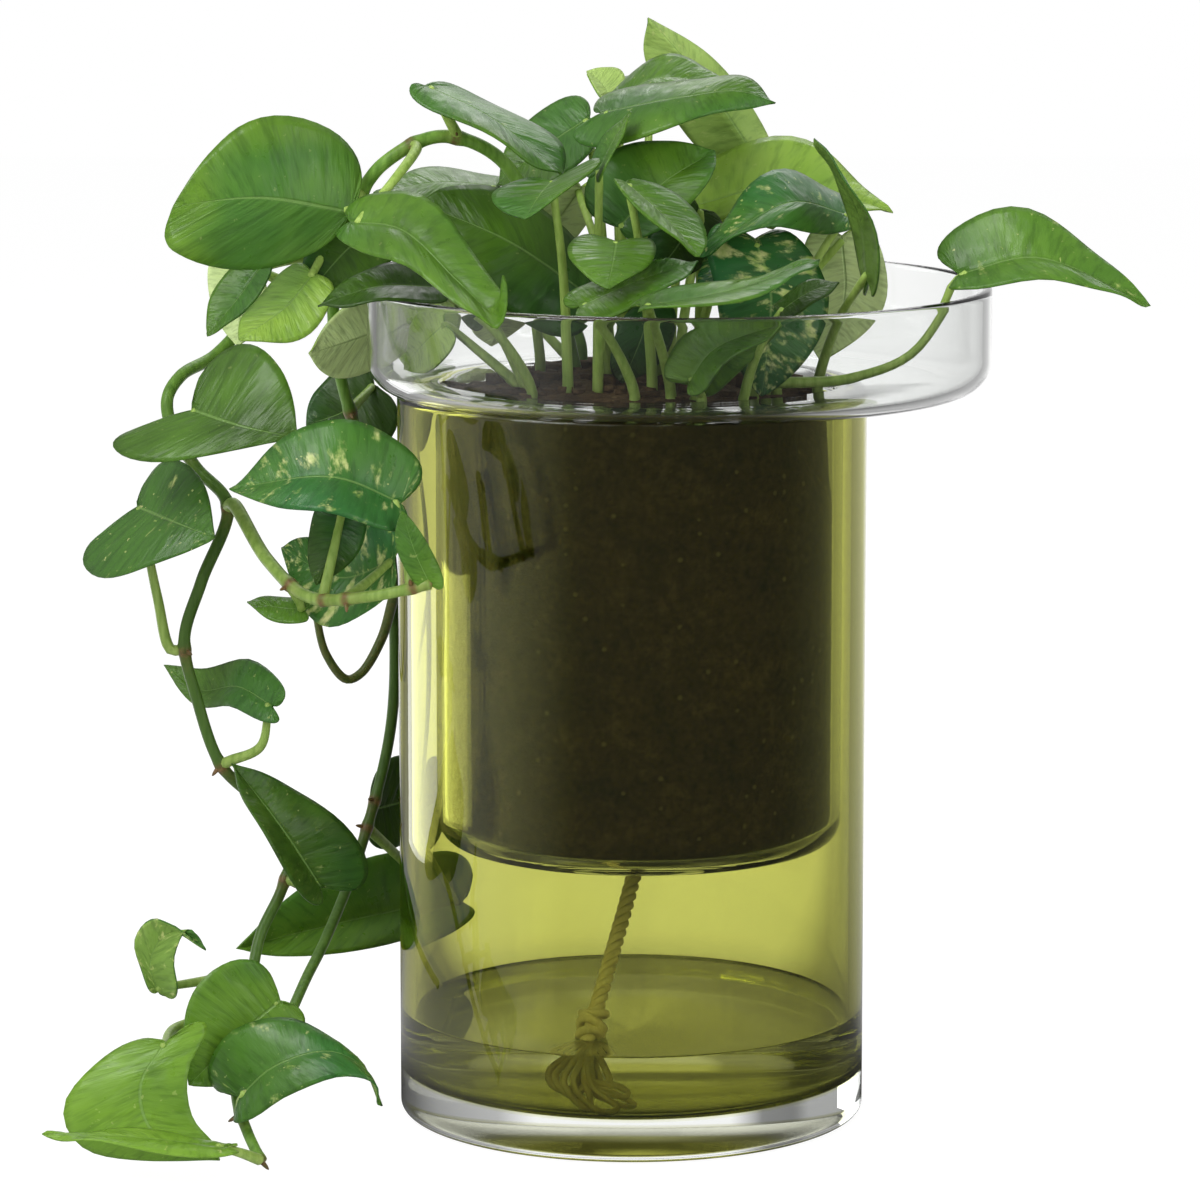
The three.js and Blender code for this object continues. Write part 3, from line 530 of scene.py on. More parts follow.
def spline(places, count, per_stretch=20):
    """Evenly spaced points on the centripetal Catmull-Rom curve through the places."""
    p = [np.asarray(q, float) for q in places]
    p = [2 * p[0] - p[1], *p, 2 * p[-1] - p[-2]]
    dense = []
    for a, b, c, d in zip(p, p[1:], p[2:], p[3:]):
        g0, g1, g2 = (math.sqrt(np.linalg.norm(v - u)) for u, v in ((a, b), (b, c), (c, d)))
        start = g1 * ((b - a) / g0 - (c - a) / (g0 + g1) + (c - b) / g1)
        end = g1 * ((c - b) / g1 - (d - b) / (g1 + g2) + (d - c) / g2)
        for t in np.arange(per_stretch) / per_stretch:
            cubic = (2 * b - 2 * c + start + end) * t ** 3 + (3 * c - 3 * b - 2 * start - end) * t * t
            dense.append(cubic + start * t + b)
    dense.append(p[-2])
    dense = np.array(dense)
    walked = np.concatenate([[0], np.cumsum(np.linalg.norm(np.diff(dense, axis=0), axis=1))])
    shares = np.linspace(0, walked[-1], count)
    return np.stack([np.interp(shares, walked, dense[:, k]) for k in range(3)], axis=1)


def length_of(points):
    return float(np.linalg.norm(np.diff(points, axis=0), axis=1).sum())


def frames_along(points):
    """Tangent and two steady side directions at each point of a line."""
    tangents = units(np.gradient(points, axis=0))
    side = np.cross(tangents[0], vec(0.3, 0.9, 0.2))
    sides = []
    for tangent in tangents:
        side = unit(side - tangent * (side @ tangent))
        sides.append(side)
    sides = np.array(sides)
    return tangents, sides, np.cross(tangents, sides)


def sweep(points, radii, sides):
    """A closed tube along a line, with round ends."""
    tangents, across, up = frames_along(points)
    radii = np.broadcast_to(np.asarray(radii, float), len(points))
    angles = 2 * np.pi * np.arange(sides) / sides
    made = [points[0] - tangents[0] * radii[0] * 0.5]
    for centre, radius, a, b in zip(points, radii, across, up):
        made.extend(centre + radius * (np.outer(np.cos(angles), a) + np.outer(np.sin(angles), b)))
    made.append(points[-1] + tangents[-1] * radii[-1] * 0.5)
    last = len(made) - 1
    faces = []
    for k in range(sides):
        n = (k + 1) % sides
        faces += [(0, 1 + n, 1 + k), (last, last - sides + k, last - sides + n)]
        for a in range(1, last - sides, sides):
            faces.append((a + k, a + n, a + sides + n, a + sides + k))
    return [tuple(q) for q in made], faces


# Wick

def wick_rope():
    """Three strands laid round the wick's route."""
    path = spline(WICK_ROUTE, 160)
    _, across, up = frames_along(path)
    walked = np.linspace(0, length_of(path), len(path))
    parts = Parts()
    for strand in range(WICK_STRANDS):
        turn = 2 * np.pi * (walked / WICK_LAY + strand / WICK_STRANDS)
        around = np.cos(turn)[:, None] * across + np.sin(turn)[:, None] * up
        parts.add(*sweep(path + WICK_DIAMETER * LAY_SHARE * around, WICK_DIAMETER * STRAND_SHARE, 10))
    return parts.build("wick_rope_laid", [COTTON], "planter", "cotton", "wick_rope"), path


def wick_knot(path):
    """Tilted wraps round the rope's end."""
    end = path[-1]
    heading, a, b = (directions[-1] for directions in frames_along(path))
    parts = Parts()
    for drop, ring, lean, turn in KNOT_WRAPS:
        angles = np.linspace(0, WRAP_SWEEP * np.pi, 44) + turn
        wrap = np.array([end + heading * (drop + ring * lean * math.sin(t - turn))
                         + ring * (math.cos(t) * a + math.sin(t) * b) for t in angles])
        parts.add(*sweep(wrap, KNOT_STRAND_RADIUS, 10))
    core = np.array([end + heading * d for d in np.linspace(*KNOT_CORE_ENDS, 12)])
    parts.add(*sweep(core, KNOT_CORE_RADIUS, 10))
    return parts.build("wick_knot_tied", [COTTON], "planter", "cotton", "wick_knot")


def wick_loops():
    """Strands that hang in loops from the knot and lie forward on the vessel's floor."""
    parts = Parts()
    for depth, places in WICK_LOOPS:
        line = [vec(x, LOOPS_TOP[0] - LOOPS_FORWARD * down - depth, LOOPS_TOP[1] - LOOPS_DROP * down)
                for x, down in places]
        parts.add(*sweep(spline(line, 70), STRAND_DIAMETER / 2, 9))
    return parts.build("wick_loops_hung", [COTTON], "planter", "cotton", "wick_loops")


rope, rope_path = wick_rope()
knot = wick_knot(rope_path)
tassel = wick_loops()


# Glass and water

def turned(profile, *piece):
    """A piece turned round the vessel's axis from places in a profile."""
    parts = Parts()
    parts.add(*revolve([(r, z, 0) for r, z in profile], GLASS_SEGMENTS, False))
    parts.build(*piece)


def inner_wall(radius, depth, top):
    """The profile of the vessel's inside, or of a layer at a depth below it, from the top to the axis."""
    round_ = FLOOR_CORNER_RADIUS + depth
    floor = VESSEL_BASE - depth
    profile = [(radius, z) for z in np.linspace(top, floor + round_ + 1, WALL_STEPS)]
    profile += arc(radius - round_, floor + round_, round_, 0, -90)
    return profile + [(r, floor - sag) for r, sag in FLOOR_SAG]


def vessel():
    """A thick clear cylinder with a heavy base, cased inside."""
    top = VESSEL_HEIGHT - WALL_INSET
    profile = [(r, 0) for r in (0, 30, 60)]
    profile += arc(VESSEL_RADIUS - BASE_EDGE_RADIUS, BASE_EDGE_RADIUS, BASE_EDGE_RADIUS, -90, 0)
    profile += [(VESSEL_RADIUS, z) for z in np.linspace(2 * BASE_EDGE_RADIUS, top, WALL_STEPS)]
    profile += arc(VESSEL_RADIUS - LIP_RADIUS, VESSEL_HEIGHT - LIP_RADIUS, LIP_RADIUS, 0, 90)
    profile += arc(VESSEL_BORE + LIP_RADIUS, VESSEL_HEIGHT - LIP_RADIUS, LIP_RADIUS, 100, 180)
    profile += inner_wall(VESSEL_BORE, 0, top)
    turned(profile, "vessel_blown", [CLEAR], "vessel", "vessel_glass", "outer_vessel")
    casing = inner_wall(VESSEL_BORE + CASING_DEPTH, CASING_DEPTH, VESSEL_HEIGHT - LIP_RADIUS)
    turned(casing, "vessel_casing", [LINING], "vessel", "vessel_glass")


def planter():
    """One blown wall: up the pot, out under the dish, over the lip and down inside to the wick's hole."""
    def wall(radius, low, high, count):
        return [(radius, z) for z in np.linspace(low, high, count)]

    corner, inside, lip = DISH_CORNER_RADIUS, DISH_RADIUS - DISH_WALL, DISH_WALL / 2
    inner, neck = DISH_CORNER_RADIUS - DISH_WALL, NECK_RADIUS
    pot_corner, pot_inner = POT_CORNER_RADIUS, POT_CORNER_RADIUS - (POT_RADIUS - POT_BORE)
    pot_outside = [(HOLE_RADIUS, POT_UNDER + 1), (HOLE_RADIUS + 1, POT_UNDER), (40, POT_UNDER)]
    pot_outside += arc(POT_RADIUS - pot_corner, POT_UNDER + pot_corner, pot_corner, -90, 0)
    pot_outside += wall(POT_RADIUS, POT_UNDER + WALL_FOOT, DISH_UNDER - 6, 14)
    pot_outside += arc(POT_RADIUS + neck, DISH_UNDER - neck, neck, 180, 90)[:-2]
    dish = [(DISH_RADIUS - corner - 3, DISH_UNDER)]
    dish += arc(DISH_RADIUS - corner, DISH_UNDER + corner, corner, -90, 0)
    dish += wall(DISH_RADIUS, DISH_UNDER + WALL_FOOT, RIM_Z - DISH_WALL, 5)
    dish += arc(DISH_RADIUS - lip, RIM_Z - lip, lip, 0, 180, 12)
    dish += wall(inside, RIM_Z - DISH_WALL, DISH_FLOOR + 10, 5)
    dish += arc(inside - inner, DISH_FLOOR + inner, inner, 0, -90)
    dish += [(inside - inner - 3, DISH_FLOOR)]
    pot_inside = arc(POT_BORE + neck, DISH_FLOOR - neck, neck, 90, 180)[2:]
    pot_inside += wall(POT_BORE, DISH_FLOOR - 8, POT_FLOOR + 10, 14)
    pot_inside += arc(POT_BORE - pot_inner, POT_FLOOR + pot_inner, pot_inner, 0, -90)
    pot_inside += [(40, POT_FLOOR), (HOLE_RADIUS + 1, POT_FLOOR), (HOLE_RADIUS, POT_FLOOR - 1)]
    profiles = ((POT_X, pot_outside), (DISH_X, dish), (POT_X, pot_inside))
    rings = [(r, z, centre) for centre, profile in profiles for r, z in profile]
    parts = Parts()
    parts.add(*revolve(rings, GLASS_SEGMENTS, True))
    parts.build("planter_blown", [PLANTER_GLASS], "planter", "planter_glass", "planter_insert")


def water():
    """Fills the vessel's floor, reaches a little into the wall's face, and climbs it in a broad meniscus."""
    radius = VESSEL_BORE + WATER_OVERLAP
    round_ = FLOOR_CORNER_RADIUS
    level = WATER_TOP - WATER_DIP
    profile = [(r, VESSEL_BASE - sag - WATER_OVERLAP) for r, sag in FLOOR_SAG[::-1]]
    profile += arc(radius - round_, VESSEL_BASE - WATER_OVERLAP + round_, round_, -90, 0)
    profile += [(radius, z) for z in np.linspace(VESSEL_BASE + round_ + 1, WATER_TOP - 0.6, 5)]
    profile += [(radius, WATER_TOP)]
    profile += [(VESSEL_BORE - MENISCUS_WIDTH * s, level + WATER_DIP * (1 - s) ** MENISCUS_CURVE)
                for s in np.linspace(0, 1, 24)]
    profile += [(r, level) for r in (50, 25, 0)]
    turned(profile, "water_still", [WATER], "vessel", "water", "reservoir_water")


vessel()
planter()
water()


# Soil

def soil_height(distance):
    return SOIL_EDGE + SOIL_MOUND * (1 - (distance / SOIL_RADIUS) ** 2)


def lumps(x, y, z):
    """A rough surface from a few fixed waves."""
    total = 0.0
    for k, (a, b, c, d) in enumerate(SOIL_WAVES):
        total += math.sin(a * x + b * y + c * z + d) / (1.0 + 0.25 * k)
    return total / 4


SOIL_WAVES = [[rng.uniform(-1, 1) * scale for _ in range(3)] + [rng.uniform(0, 6.3)]
              for scale in (0.12, 0.2, 0.3, 0.45, 0.6, 0.8, 1.0, 1.3)]


def soil():
    """Crumbly plug with a broken edge at the top on the dish's wide side."""
    parts = Parts()
    radius = POT_BORE - SOIL_GAP
    corner = POT_CORNER_RADIUS - (POT_RADIUS - POT_BORE)
    profile = [(r, SOIL_BOTTOM) for r in (0, 15, 30, 45)]
    profile += arc(radius - corner, SOIL_BOTTOM + corner, corner, -90, 0, 6)
    profile += [(radius, z) for z in np.linspace(SOIL_BOTTOM + 10, SOIL_EDGE - 2, 60)]
    profile += [(r, soil_height(r)) for r in np.linspace(radius - 1, 3, 26)]
    profile += [(0, soil_height(0))]
    points, faces = revolve([(r, z, 0) for r, z in profile], 150, False)
    moved = []
    for x, y, z in points:
        distance = math.hypot(x, y)
        rough = lumps(x * 2, y * 2, z * 2)
        if distance > 0:
            bite = math.exp(-((math.atan2(y, x) - BITE_BEARING) / BITE_SPREAD) ** 2)
            bite *= max(0.0, (z - (SOIL_EDGE - BITE_HEIGHT)) / BITE_HEIGHT)
            shrink = SOIL_PITS * max(0.0, rough) + bite * (BITE_DEPTH + BITE_ROUGH * lumps(x, y, z))
            shrink = min(shrink, distance * 0.3)
            x, y = x * (1 - shrink / distance), y * (1 - shrink / distance)
        if z > SOIL_EDGE - 3:
            z += SOIL_RELIEF[0] * rough + SOIL_RELIEF[1] * lumps(x * 4, y * 4, z)
        moved.append((x + POT_X, y, z))
    parts.add(moved, faces)
    for _ in range(CRUMB_COUNT):
        distance, angle = SOIL_RADIUS * 0.95 * math.sqrt(rng.random()), rng.uniform(0, FULL_TURN)
        place = vec(distance * math.cos(angle), distance * math.sin(angle), soil_height(distance))
        parts.add(*crumb(place + vec(POT_X, 0, 0.6), rng.uniform(*CRUMB_SIZE)))
    parts.build("soil_crumbled", [SOIL], "plant", "soil", "soil_plug")


def crumb(place, size):
    """One lump of bark or soil: an uneven block with eight corners."""
    squash = vec(rng.uniform(0.7, 1.4), rng.uniform(0.5, 1.0), rng.uniform(0.4, 0.8)) * size
    turn = rng.uniform(0, FULL_TURN)
    cos, sin = math.cos(turn), math.sin(turn)
    points = []
    for corner in range(8):
        block = vec(corner & 1, corner >> 1 & 1, corner >> 2 & 1) * 2 - 1
        x, y, z = block * squash * (0.75 + 0.5 * rng.random())
        points.append(tuple(place + vec(x * cos - y * sin, x * sin + y * cos, z)))
    return points, [(0, 2, 3, 1), (4, 5, 7, 6), (0, 1, 5, 4), (2, 6, 7, 3), (0, 4, 6, 2), (1, 3, 7, 5)]


soil()


# Plant: places as on the solids

def crown(x, y, up):
    return vec(POT_X + x, y, RIM_Z + up)


def far_rim(x, y, up):
    return vec(DISH_X + DISH_RADIUS + x, y, RIM_Z + up)


def trail(x, y, share):
    return vec(DISH_X - DISH_RADIUS + x, y, RIM_Z * share)


def on_soil(x, y):
    return vec(POT_X + x, y, soil_height(math.hypot(x, y)) + STALK_GAP)


# Vines: where the stem leaves the soil, its places over the crown, and its places below the rim
LONG, BEHIND, SHOOT = "vine_long", "vine_behind", "vine_shoot"
VINES = {
    LONG: ((-22, 4), [(-34, -4, 20), (-48, -10, 44), (-67, -14, 51), (-86, -16, 42)], [
        (-7, -8, 1.08), (-20, 8, 1.03), (-36, 18, 0.97), (-52, 8, 0.912), (-63, -8, 0.893),
        (-67, -16, 0.868), (-65, -19, 0.833), (-57, -24, 0.792), (-46, -30, 0.75), (-55, -32, 0.66),
        (-61, -32, 0.59), (-57, -32, 0.52), (-49, -32, 0.44), (-36, -28, 0.39), (-26, -26, 0.335),
        (-29, -30, 0.29), (-36, -40, 0.24), (-39, -52, 0.18), (-42, -66, 0.11), (-42, -76, 0.075),
        (-38, -86, 0.045), (-33, -96, 0.02),
    ]),
    BEHIND: ((-20, 26), [(-21, 27, -22), (-40, 34, 10), (-72, 42, 22)], [
        (-10, 44, 1.02), (-13, 50, 0.9), (-6, 56, 0.79), (3, 62, 0.685), (6, 62, 0.584), (5, 58, 0.43),
        (-5, 40, 0.29), (-16, 8, 0.2), (-22, -10, 0.165), (-26, -26, 0.14),
    ]),
}
LINES = {
    name: spline([on_soil(*root), *(crown(*p) for p in over), *(trail(*p) for p in below)], 400)
    for name, (root, over, below) in VINES.items()
}
LOOP_STEM = [
    (6, 61, 0.587), (2, 48, 0.542), (-5, 44, 0.503), (-10, 42, 0.497), (-17, 40, 0.53), (-20, 40, 0.573),
    (-21, 40, 0.605),
]
LOOP_STEM_RADII = (1.9, 1.3)


def branch(vine, near, towards):
    """Where something leaves a vine: on the stem's surface, on the side that faces a place."""
    line = LINES[vine]
    at = int(np.argmin(np.linalg.norm(line - near, axis=1)))
    axis = line[at]
    tangent = unit(line[min(at + 1, len(line) - 1)] - line[max(at - 1, 0)])
    outward = towards - axis
    outward = unit(outward - tangent * (outward @ tangent))
    return axis + outward * (STEM_RADIUS * 0.4), outward, at


SHOOT_BEND = trail(-31, -58, 0.7)
shoot_root, shoot_out, shoot_joint = branch(LONG, trail(-46, -30, 0.75), SHOOT_BEND)
LINES[SHOOT] = spline([
    shoot_root, shoot_root + shoot_out * SPROUT_LENGTH, SHOOT_BEND,
    trail(-16, -78, 0.668), trail(4, -92, 0.677), trail(24, -99, 0.695),
], 200)

# Crown leaves, from crown_leaf_01 on: midrib, the two edges at the widest, and for some the stalk's foot
CROWN_LEAVES = [
    ([(-17, 16, 55), (-34, 12, 44), (-48, 8, 33)], (-8, 10, 7), (0, -12, -13)),
    ([(-17, -20, -2), (-44, -28, 17), (-74, -20, 29)], (-4, 14, 18), (-12, -10, -14)),
    ([(-49, 30, 30), (-67, 26, 32), (-91, 20, 29)], (-3, 14, 4), (-2, -14, -6), (-34, 14)),
    ([(39, 42, 42), (23, 36, 65), (3, 32, 88)], (-17, 4, -3), (7, 12, 4), (20, 46)),
    ([(-13, -18, 59), (13, -30, 65), (33, -28, 67), (45, -26, 63)], (5, 16, 6), (-7, -10, -11), (6, -8)),
    ([(-8, 12, 62), (7, 8, 69), (30, 6, 66)], (4, 12, 7), (0, -10, -4)),
    ([(-10, 34, 60), (-13, 38, 65), (-18, 42, 69)], (-3, -4, 0), (6, 6, 5)),
    ([(-7, -30, 22), (7, -30, 36), (25, -24, 47)], (-13, 8, 13), (13, -6, -2)),
    ([(-14, -42, 41), (-9, -40, 51), (-3, -36, 61)], (-4, 8, 0), (1, -8, -1), (-14, -30)),
    ([(-29, -48, 39), (-33, -56, 35), (-38, -66, 28)], (-16, 6, -1), (17, 2, 8), (-24, -36)),
    ([(-8, -60, 20), (-9, -72, 15), (-11, -84, 7)], (-15, 5, 1), (13, 3, 0), (-14, -36)),
    ([(-5, -55, 39), (8, -62, 28), (19, -70, 16)], (13, 8, -2), (-3, -10, -1), (4, -36)),
    ([(70, -20, 25), (48, -44, 31), (19, -48, 14)], (-5, 15, 9), (-6, -14, -6), (46, -22)),
    ([(75, -46, 6), (72, -46, 28), (57, -48, 53)], (-2, 10, -2), (3, -14, 0), (60, -16)),
    ([(17, 18, 24), (51, 14, 32), (87, 22, 22)], (1, 18, 15), (3, -18, -5)),
    ([(33, -12, 16), (28, -28, 9), (20, -40, 1)], (-8, 4, 0), (6, -10, -3)),
    ([(38, -40, 19), (43, -47, 3), (42, -49, -15), (40, -49, -33)], (-18, 0, 1), (19, 2, -3), (42, -26)),
    ([(-20, -72, 0), (-2, -64, 7), (19, -52, 13)], (-3, 10, 4), (6, -16, -3), (-2, -54)),
    ([(0, -92, 2), (30, -86, 7), (58, -78, 16)], (3, 11, 3), (10, -15, 1), (10, -52)),
    ([(46, -66, -2), (55, -66, 4), (65, -64, 7)], (-1, 6, 3), (3, -6, -2), (34, -54)),
    ([(70, 32, 13), (71, 29, -8), (63, 25, -30)], (-14, 5, -2), (14, -4, -2), (48, 38)),
    ([(16, -66, -25), (24, -70, -14), (46, -76, -5)], (-9, 4, 5), (4, -10, -3), (20, -56)),
    ([(30, 56, 34), (42, 74, 28), (48, 88, 10)], (-18, 9, 0), (18, -9, 0)),
    ([(-20, 54, 28), (-33, 63, 8), (-42, 67, -18)], (12, 5, 2), (-12, -3, -2)),
    ([(4, 48, 66), (6, 66, 66), (8, 84, 54)], (-16, 2, -2), (16, -2, -2)),
    ([(-66, -52, 4), (-86, -58, 5), (-106, -62, -1)], (0, 11, 7), (-1, -11, -4), (-36, -42)),
]

OUTLIER_LEAF = ([(-14, -48, 8), (11, -54, 14), (48, -60, -1)], (-3, 11, 15), (4, -11, -5))
OUTLIER_STALK = [(-51, -44, -27), (-31, -46, -19), (-20, -46, -4), (-16, -47, 5)]
OUTLIER_ROOT = (38, -40)

# Trail leaves, from trail_leaf_01 on: vine, midrib and edges, and for some where the stalk starts and passes
TRAIL_LEAVES = [
    (LONG, [(-4, -28, 1.094), (-33, -40, 1.114), (-62, -44, 1.106)], (-3, 9, 27), (-28, -7, -20)),
    (LONG, [(-3, -50, 1.089), (14, -64, 1.085), (34, -84, 1.029), (45, -92, 1.001), (48, -99, 1.046)],
     (8, 8, 9), (3, -18, -9), (18, -20, 1.16), (11, -40, 1.135)),
    (LONG, [(21, -30, 1.241), (43, -36, 1.205), (67, -42, 1.14)], (17, 15, -4), (-1, -13, -5),
     (32, -20, 1.17)),
    (LONG, [(-44, 6, 1.023), (-43, 4, 0.979), (-44, 0, 0.925)], (-11, 3, 0), (9, -1, -3)),
    (LONG, [(-35, -10, 1.024), (-43, -14, 0.986), (-53, -20, 0.945)], (-8, 4, 3), (4, -6, -2)),
    (LONG, [(-17, -24, 1.02), (-26, -32, 0.983), (-41, -40, 0.949)], (-11, 6, 1), (8, -8, -8)),
    (BEHIND, [(11, 56, 0.936), (-4, 46, 0.918), (-22, 37, 0.901)], (-2, -1, 14), (-6, -1, -15)),
    (BEHIND, [(-1, 76, 0.846), (-11, 74, 0.815), (-25, 72, 0.797)], (-9, 5, 9), (10, -7, -14)),
    (LONG, [(-56, -52, 0.872), (-37, -68, 0.859), (-20, -72, 0.85)], (12, 10, 22), (-29, -2, -12)),
    (SHOOT, [(14, -86, 0.781), (-7, -94, 0.814), (-42, -80, 0.794)], (3, 11, 18), (-3, -12, -9)),
    (LONG, [(-76, -34, 0.75), (-61, -54, 0.741), (-48, -64, 0.729)], (9, 5, 16), (-20, -5, -19),
     (-61, -32, 0.577), (-70, -30, 0.64)),
    (SHOOT, [(11, -62, 0.702), (-7, -56, 0.678), (-27, -50, 0.71)], (-3, 8, 13), (-6, -4, -16)),
    (SHOOT, [(-5, -72, 0.772), (-8, -76, 0.727), (-14, -78, 0.682)], (-9, 4, 1), (8, 4, -3)),
    (SHOOT, [(-19, -62, 0.644), (-27, -60, 0.645), (-38, -58, 0.651)], (0, 5, 3), (0, -5, -4)),
    (LONG, [(-31, -42, 0.518), (-43, -30, 0.533), (-57, -17, 0.521), (-70, -8, 0.546)], (3, 3, 9),
     (-3, -2, -6), (-49, -32, 0.44), (-35, -40, 0.469)),
    (LONG, [(-16, -36, 0.297), (-28, -42, 0.369), (-45, -40, 0.448)], (18, 13, 2), (-4, -13, -2)),
    (BEHIND, [(-3, 64, 0.317), (6, 72, 0.32), (18, 80, 0.324)], (4, 4, 17), (2, 0, -15)),
    (BEHIND, [(22, 90, 0.182), (-12, 58, 0.18), (-49, 30, 0.168)], (-2, -2, 21), (-2, -14, -9)),
    (LONG, [(-69, -62, 0.191), (-71, -66, 0.232), (-64, -70, 0.269), (-52, -72, 0.249)], (-5, -4, 7),
     (8, -5, 2), (-38, -47, 0.2)),
    (LONG, [(-28, -65, 0.183), (-42, -72, 0.145), (-58, -76, 0.091)], (-14, -3, 17), (9, -1, -12)),
    (LONG, [(-40, -86, 0.087), (-28, -92, 0.128), (-10, -94, 0.147), (2, -93, 0.124), (7, -90, 0.079)],
     (-12, 11, 10), (4, -9, -7)),
    (LONG, [(-64, -92, 0.157), (-72, -98, 0.11), (-68, -101, 0.06), (-46, -102, 0.026)], (-25, 2, -8),
     (15, 2, 4), (-40, -56, 0.155), (-62, -56, 0.145)),
    (LONG, [(-44, -114, 0.052), (-71, -116, 0.065), (-103, -116, 0.07)], (-2, 9, 0), (0, -9, -1)),
]

# Young leaves in the gaps, from filler_leaf_1 on: midrib and its frame, edges, and where the stalk starts
FILLER_LEAVES = [
    (trail, [(3, -14, 1.075), (-9, -18, 1.035), (-21, -22, 0.985)], (-9, 2, 7), (10, -2, -8),
     trail(1, -10, 1.09)),
    (crown, [(4, -26, -4), (0, -30, -16), (-6, -32, -30)], (-10, -2, -4), (9, 3, -5), on_soil(6, -18)),
    (crown, [(19, -56, -28), (29, -61, -17), (47, -60, -6)], (-10, -2, 9), (4, 3, -5), on_soil(18, -50)),
    (crown, [(20, -10, 26), (12, -18, 14), (2, -24, 2)], (9, 8, -8), (-9, -6, 6), on_soil(20, -4)),
    (crown, [(-66, -8, -13), (-73, -4, -20), (-80, 0, -29)], (-4, 12, 7), (4, -12, -7), on_soil(-40, -20)),
    (crown, [(-52, -18, -6), (-60, -12, 3), (-69, -6, 7)], (3, 9, 8), (-3, -9, -8), on_soil(-38, -24)),
    (crown, [(-44, 50, -12), (-49, 54, -20), (-52, 57, -28)], (-11, 2, -1), (11, 3, 1), on_soil(-22, 40)),
    (trail, [(16, 74, 0.95), (12, 76, 0.9), (8, 76, 0.845)], (-14, 0, 1), (13, 2, -1), trail(-8, 44, 1.03)),
]
SHOOT_LEAF = ([(24, -99, 0.695), (19, -99, 0.734), (15, -98, 0.779)], (-6, 0, 1), (5, 1, 1))
SHOOT_LEAF_SEED = 0.4

# Names of the leaves by number
CROWN_NAME, TRAIL_NAME, FILLER_NAME = "crown_leaf_%02d", "trail_leaf_%02d", "filler_leaf_%d"
# Cream share and tone where a leaf differs from the rest, by its number. The tones are partly the leaves'
# own and partly painted light: the highest paint the glow of leaves lit from behind, the lowest paint shade
# on leaves that lie in shadow
NUMBERED_LOOKS = {
    CROWN_NAME: {
        2: (0.0, -0.05), 4: (0.45, 0.3), 7: (0.0, 0.5), 13: (0.45, 0.05), 14: (0.0, -0.08),
        15: (0.15, 0.6), 16: (0.6, -0.1), 17: (0.62, -0.12), 20: (0.0, -0.25), 21: (0.2, 0.85),
        22: (0.05, 0.2), 24: (0.2, 0.75), 26: (0.0, -0.15),
    },
    TRAIL_NAME: {
        1: (0.0, 0.18), 2: (0.0, 0.12), 4: (0.3, 0.75), 6: (0.1, 0.55), 7: (0.1, 0.75), 8: (0.0, -0.45),
        9: (0.1, 0.0), 10: (0.5, 0.05), 11: (0.4, 0.0), 12: (0.6, 0.1), 13: (0.1, -0.15), 15: (0.2, 0.02),
        16: (0.2, -0.12), 17: (0.0, -0.15), 18: (0.1, 0.16), 19: (0.5, 0.1), 20: (0.0, 0.15),
        21: (0.4, 0.04), 22: (0.15, 0.32), 23: (0.3, 0.45),
    },
    FILLER_NAME: {
        1: (0.0, -0.1), 2: (0.0, -0.3), 3: (0.0, 0.15), 4: (0.0, -0.25), 5: (0.1, 0.4), 6: (0.0, -0.3),
        7: (0.1, 0.75), 8: (0.1, 0.4),
    },
}
LEAF_LOOKS = {name % i: look for name, looks in NUMBERED_LOOKS.items() for i, look in looks.items()}
LEAF_LOOKS["outlier_leaf"] = (0.35, 0.15)
COMMON_LOOK = (0.15, 0.08)
SHOW_UNDERSIDE = {"crown_leaf_04", "crown_leaf_07", "crown_leaf_21", "crown_leaf_24", "filler_leaf_5",
                  "filler_leaf_7", "filler_leaf_8", "trail_leaf_04", "trail_leaf_07"}

# Half of the leaf's outline: places along the midrib and across, from the stalk round the lobe to the tip
LEAF_OUTLINE = [
    (0.0, 0.0), (-0.05, 0.20), (-0.09, 0.46), (-0.06, 0.74), (0.06, 0.95), (0.24, 1.03), (0.42, 1.0),
    (0.60, 0.86), (0.76, 0.61), (0.88, 0.34), (0.95, 0.14), (1.0, 0.0),
]
FAN_SHARE = 0.34


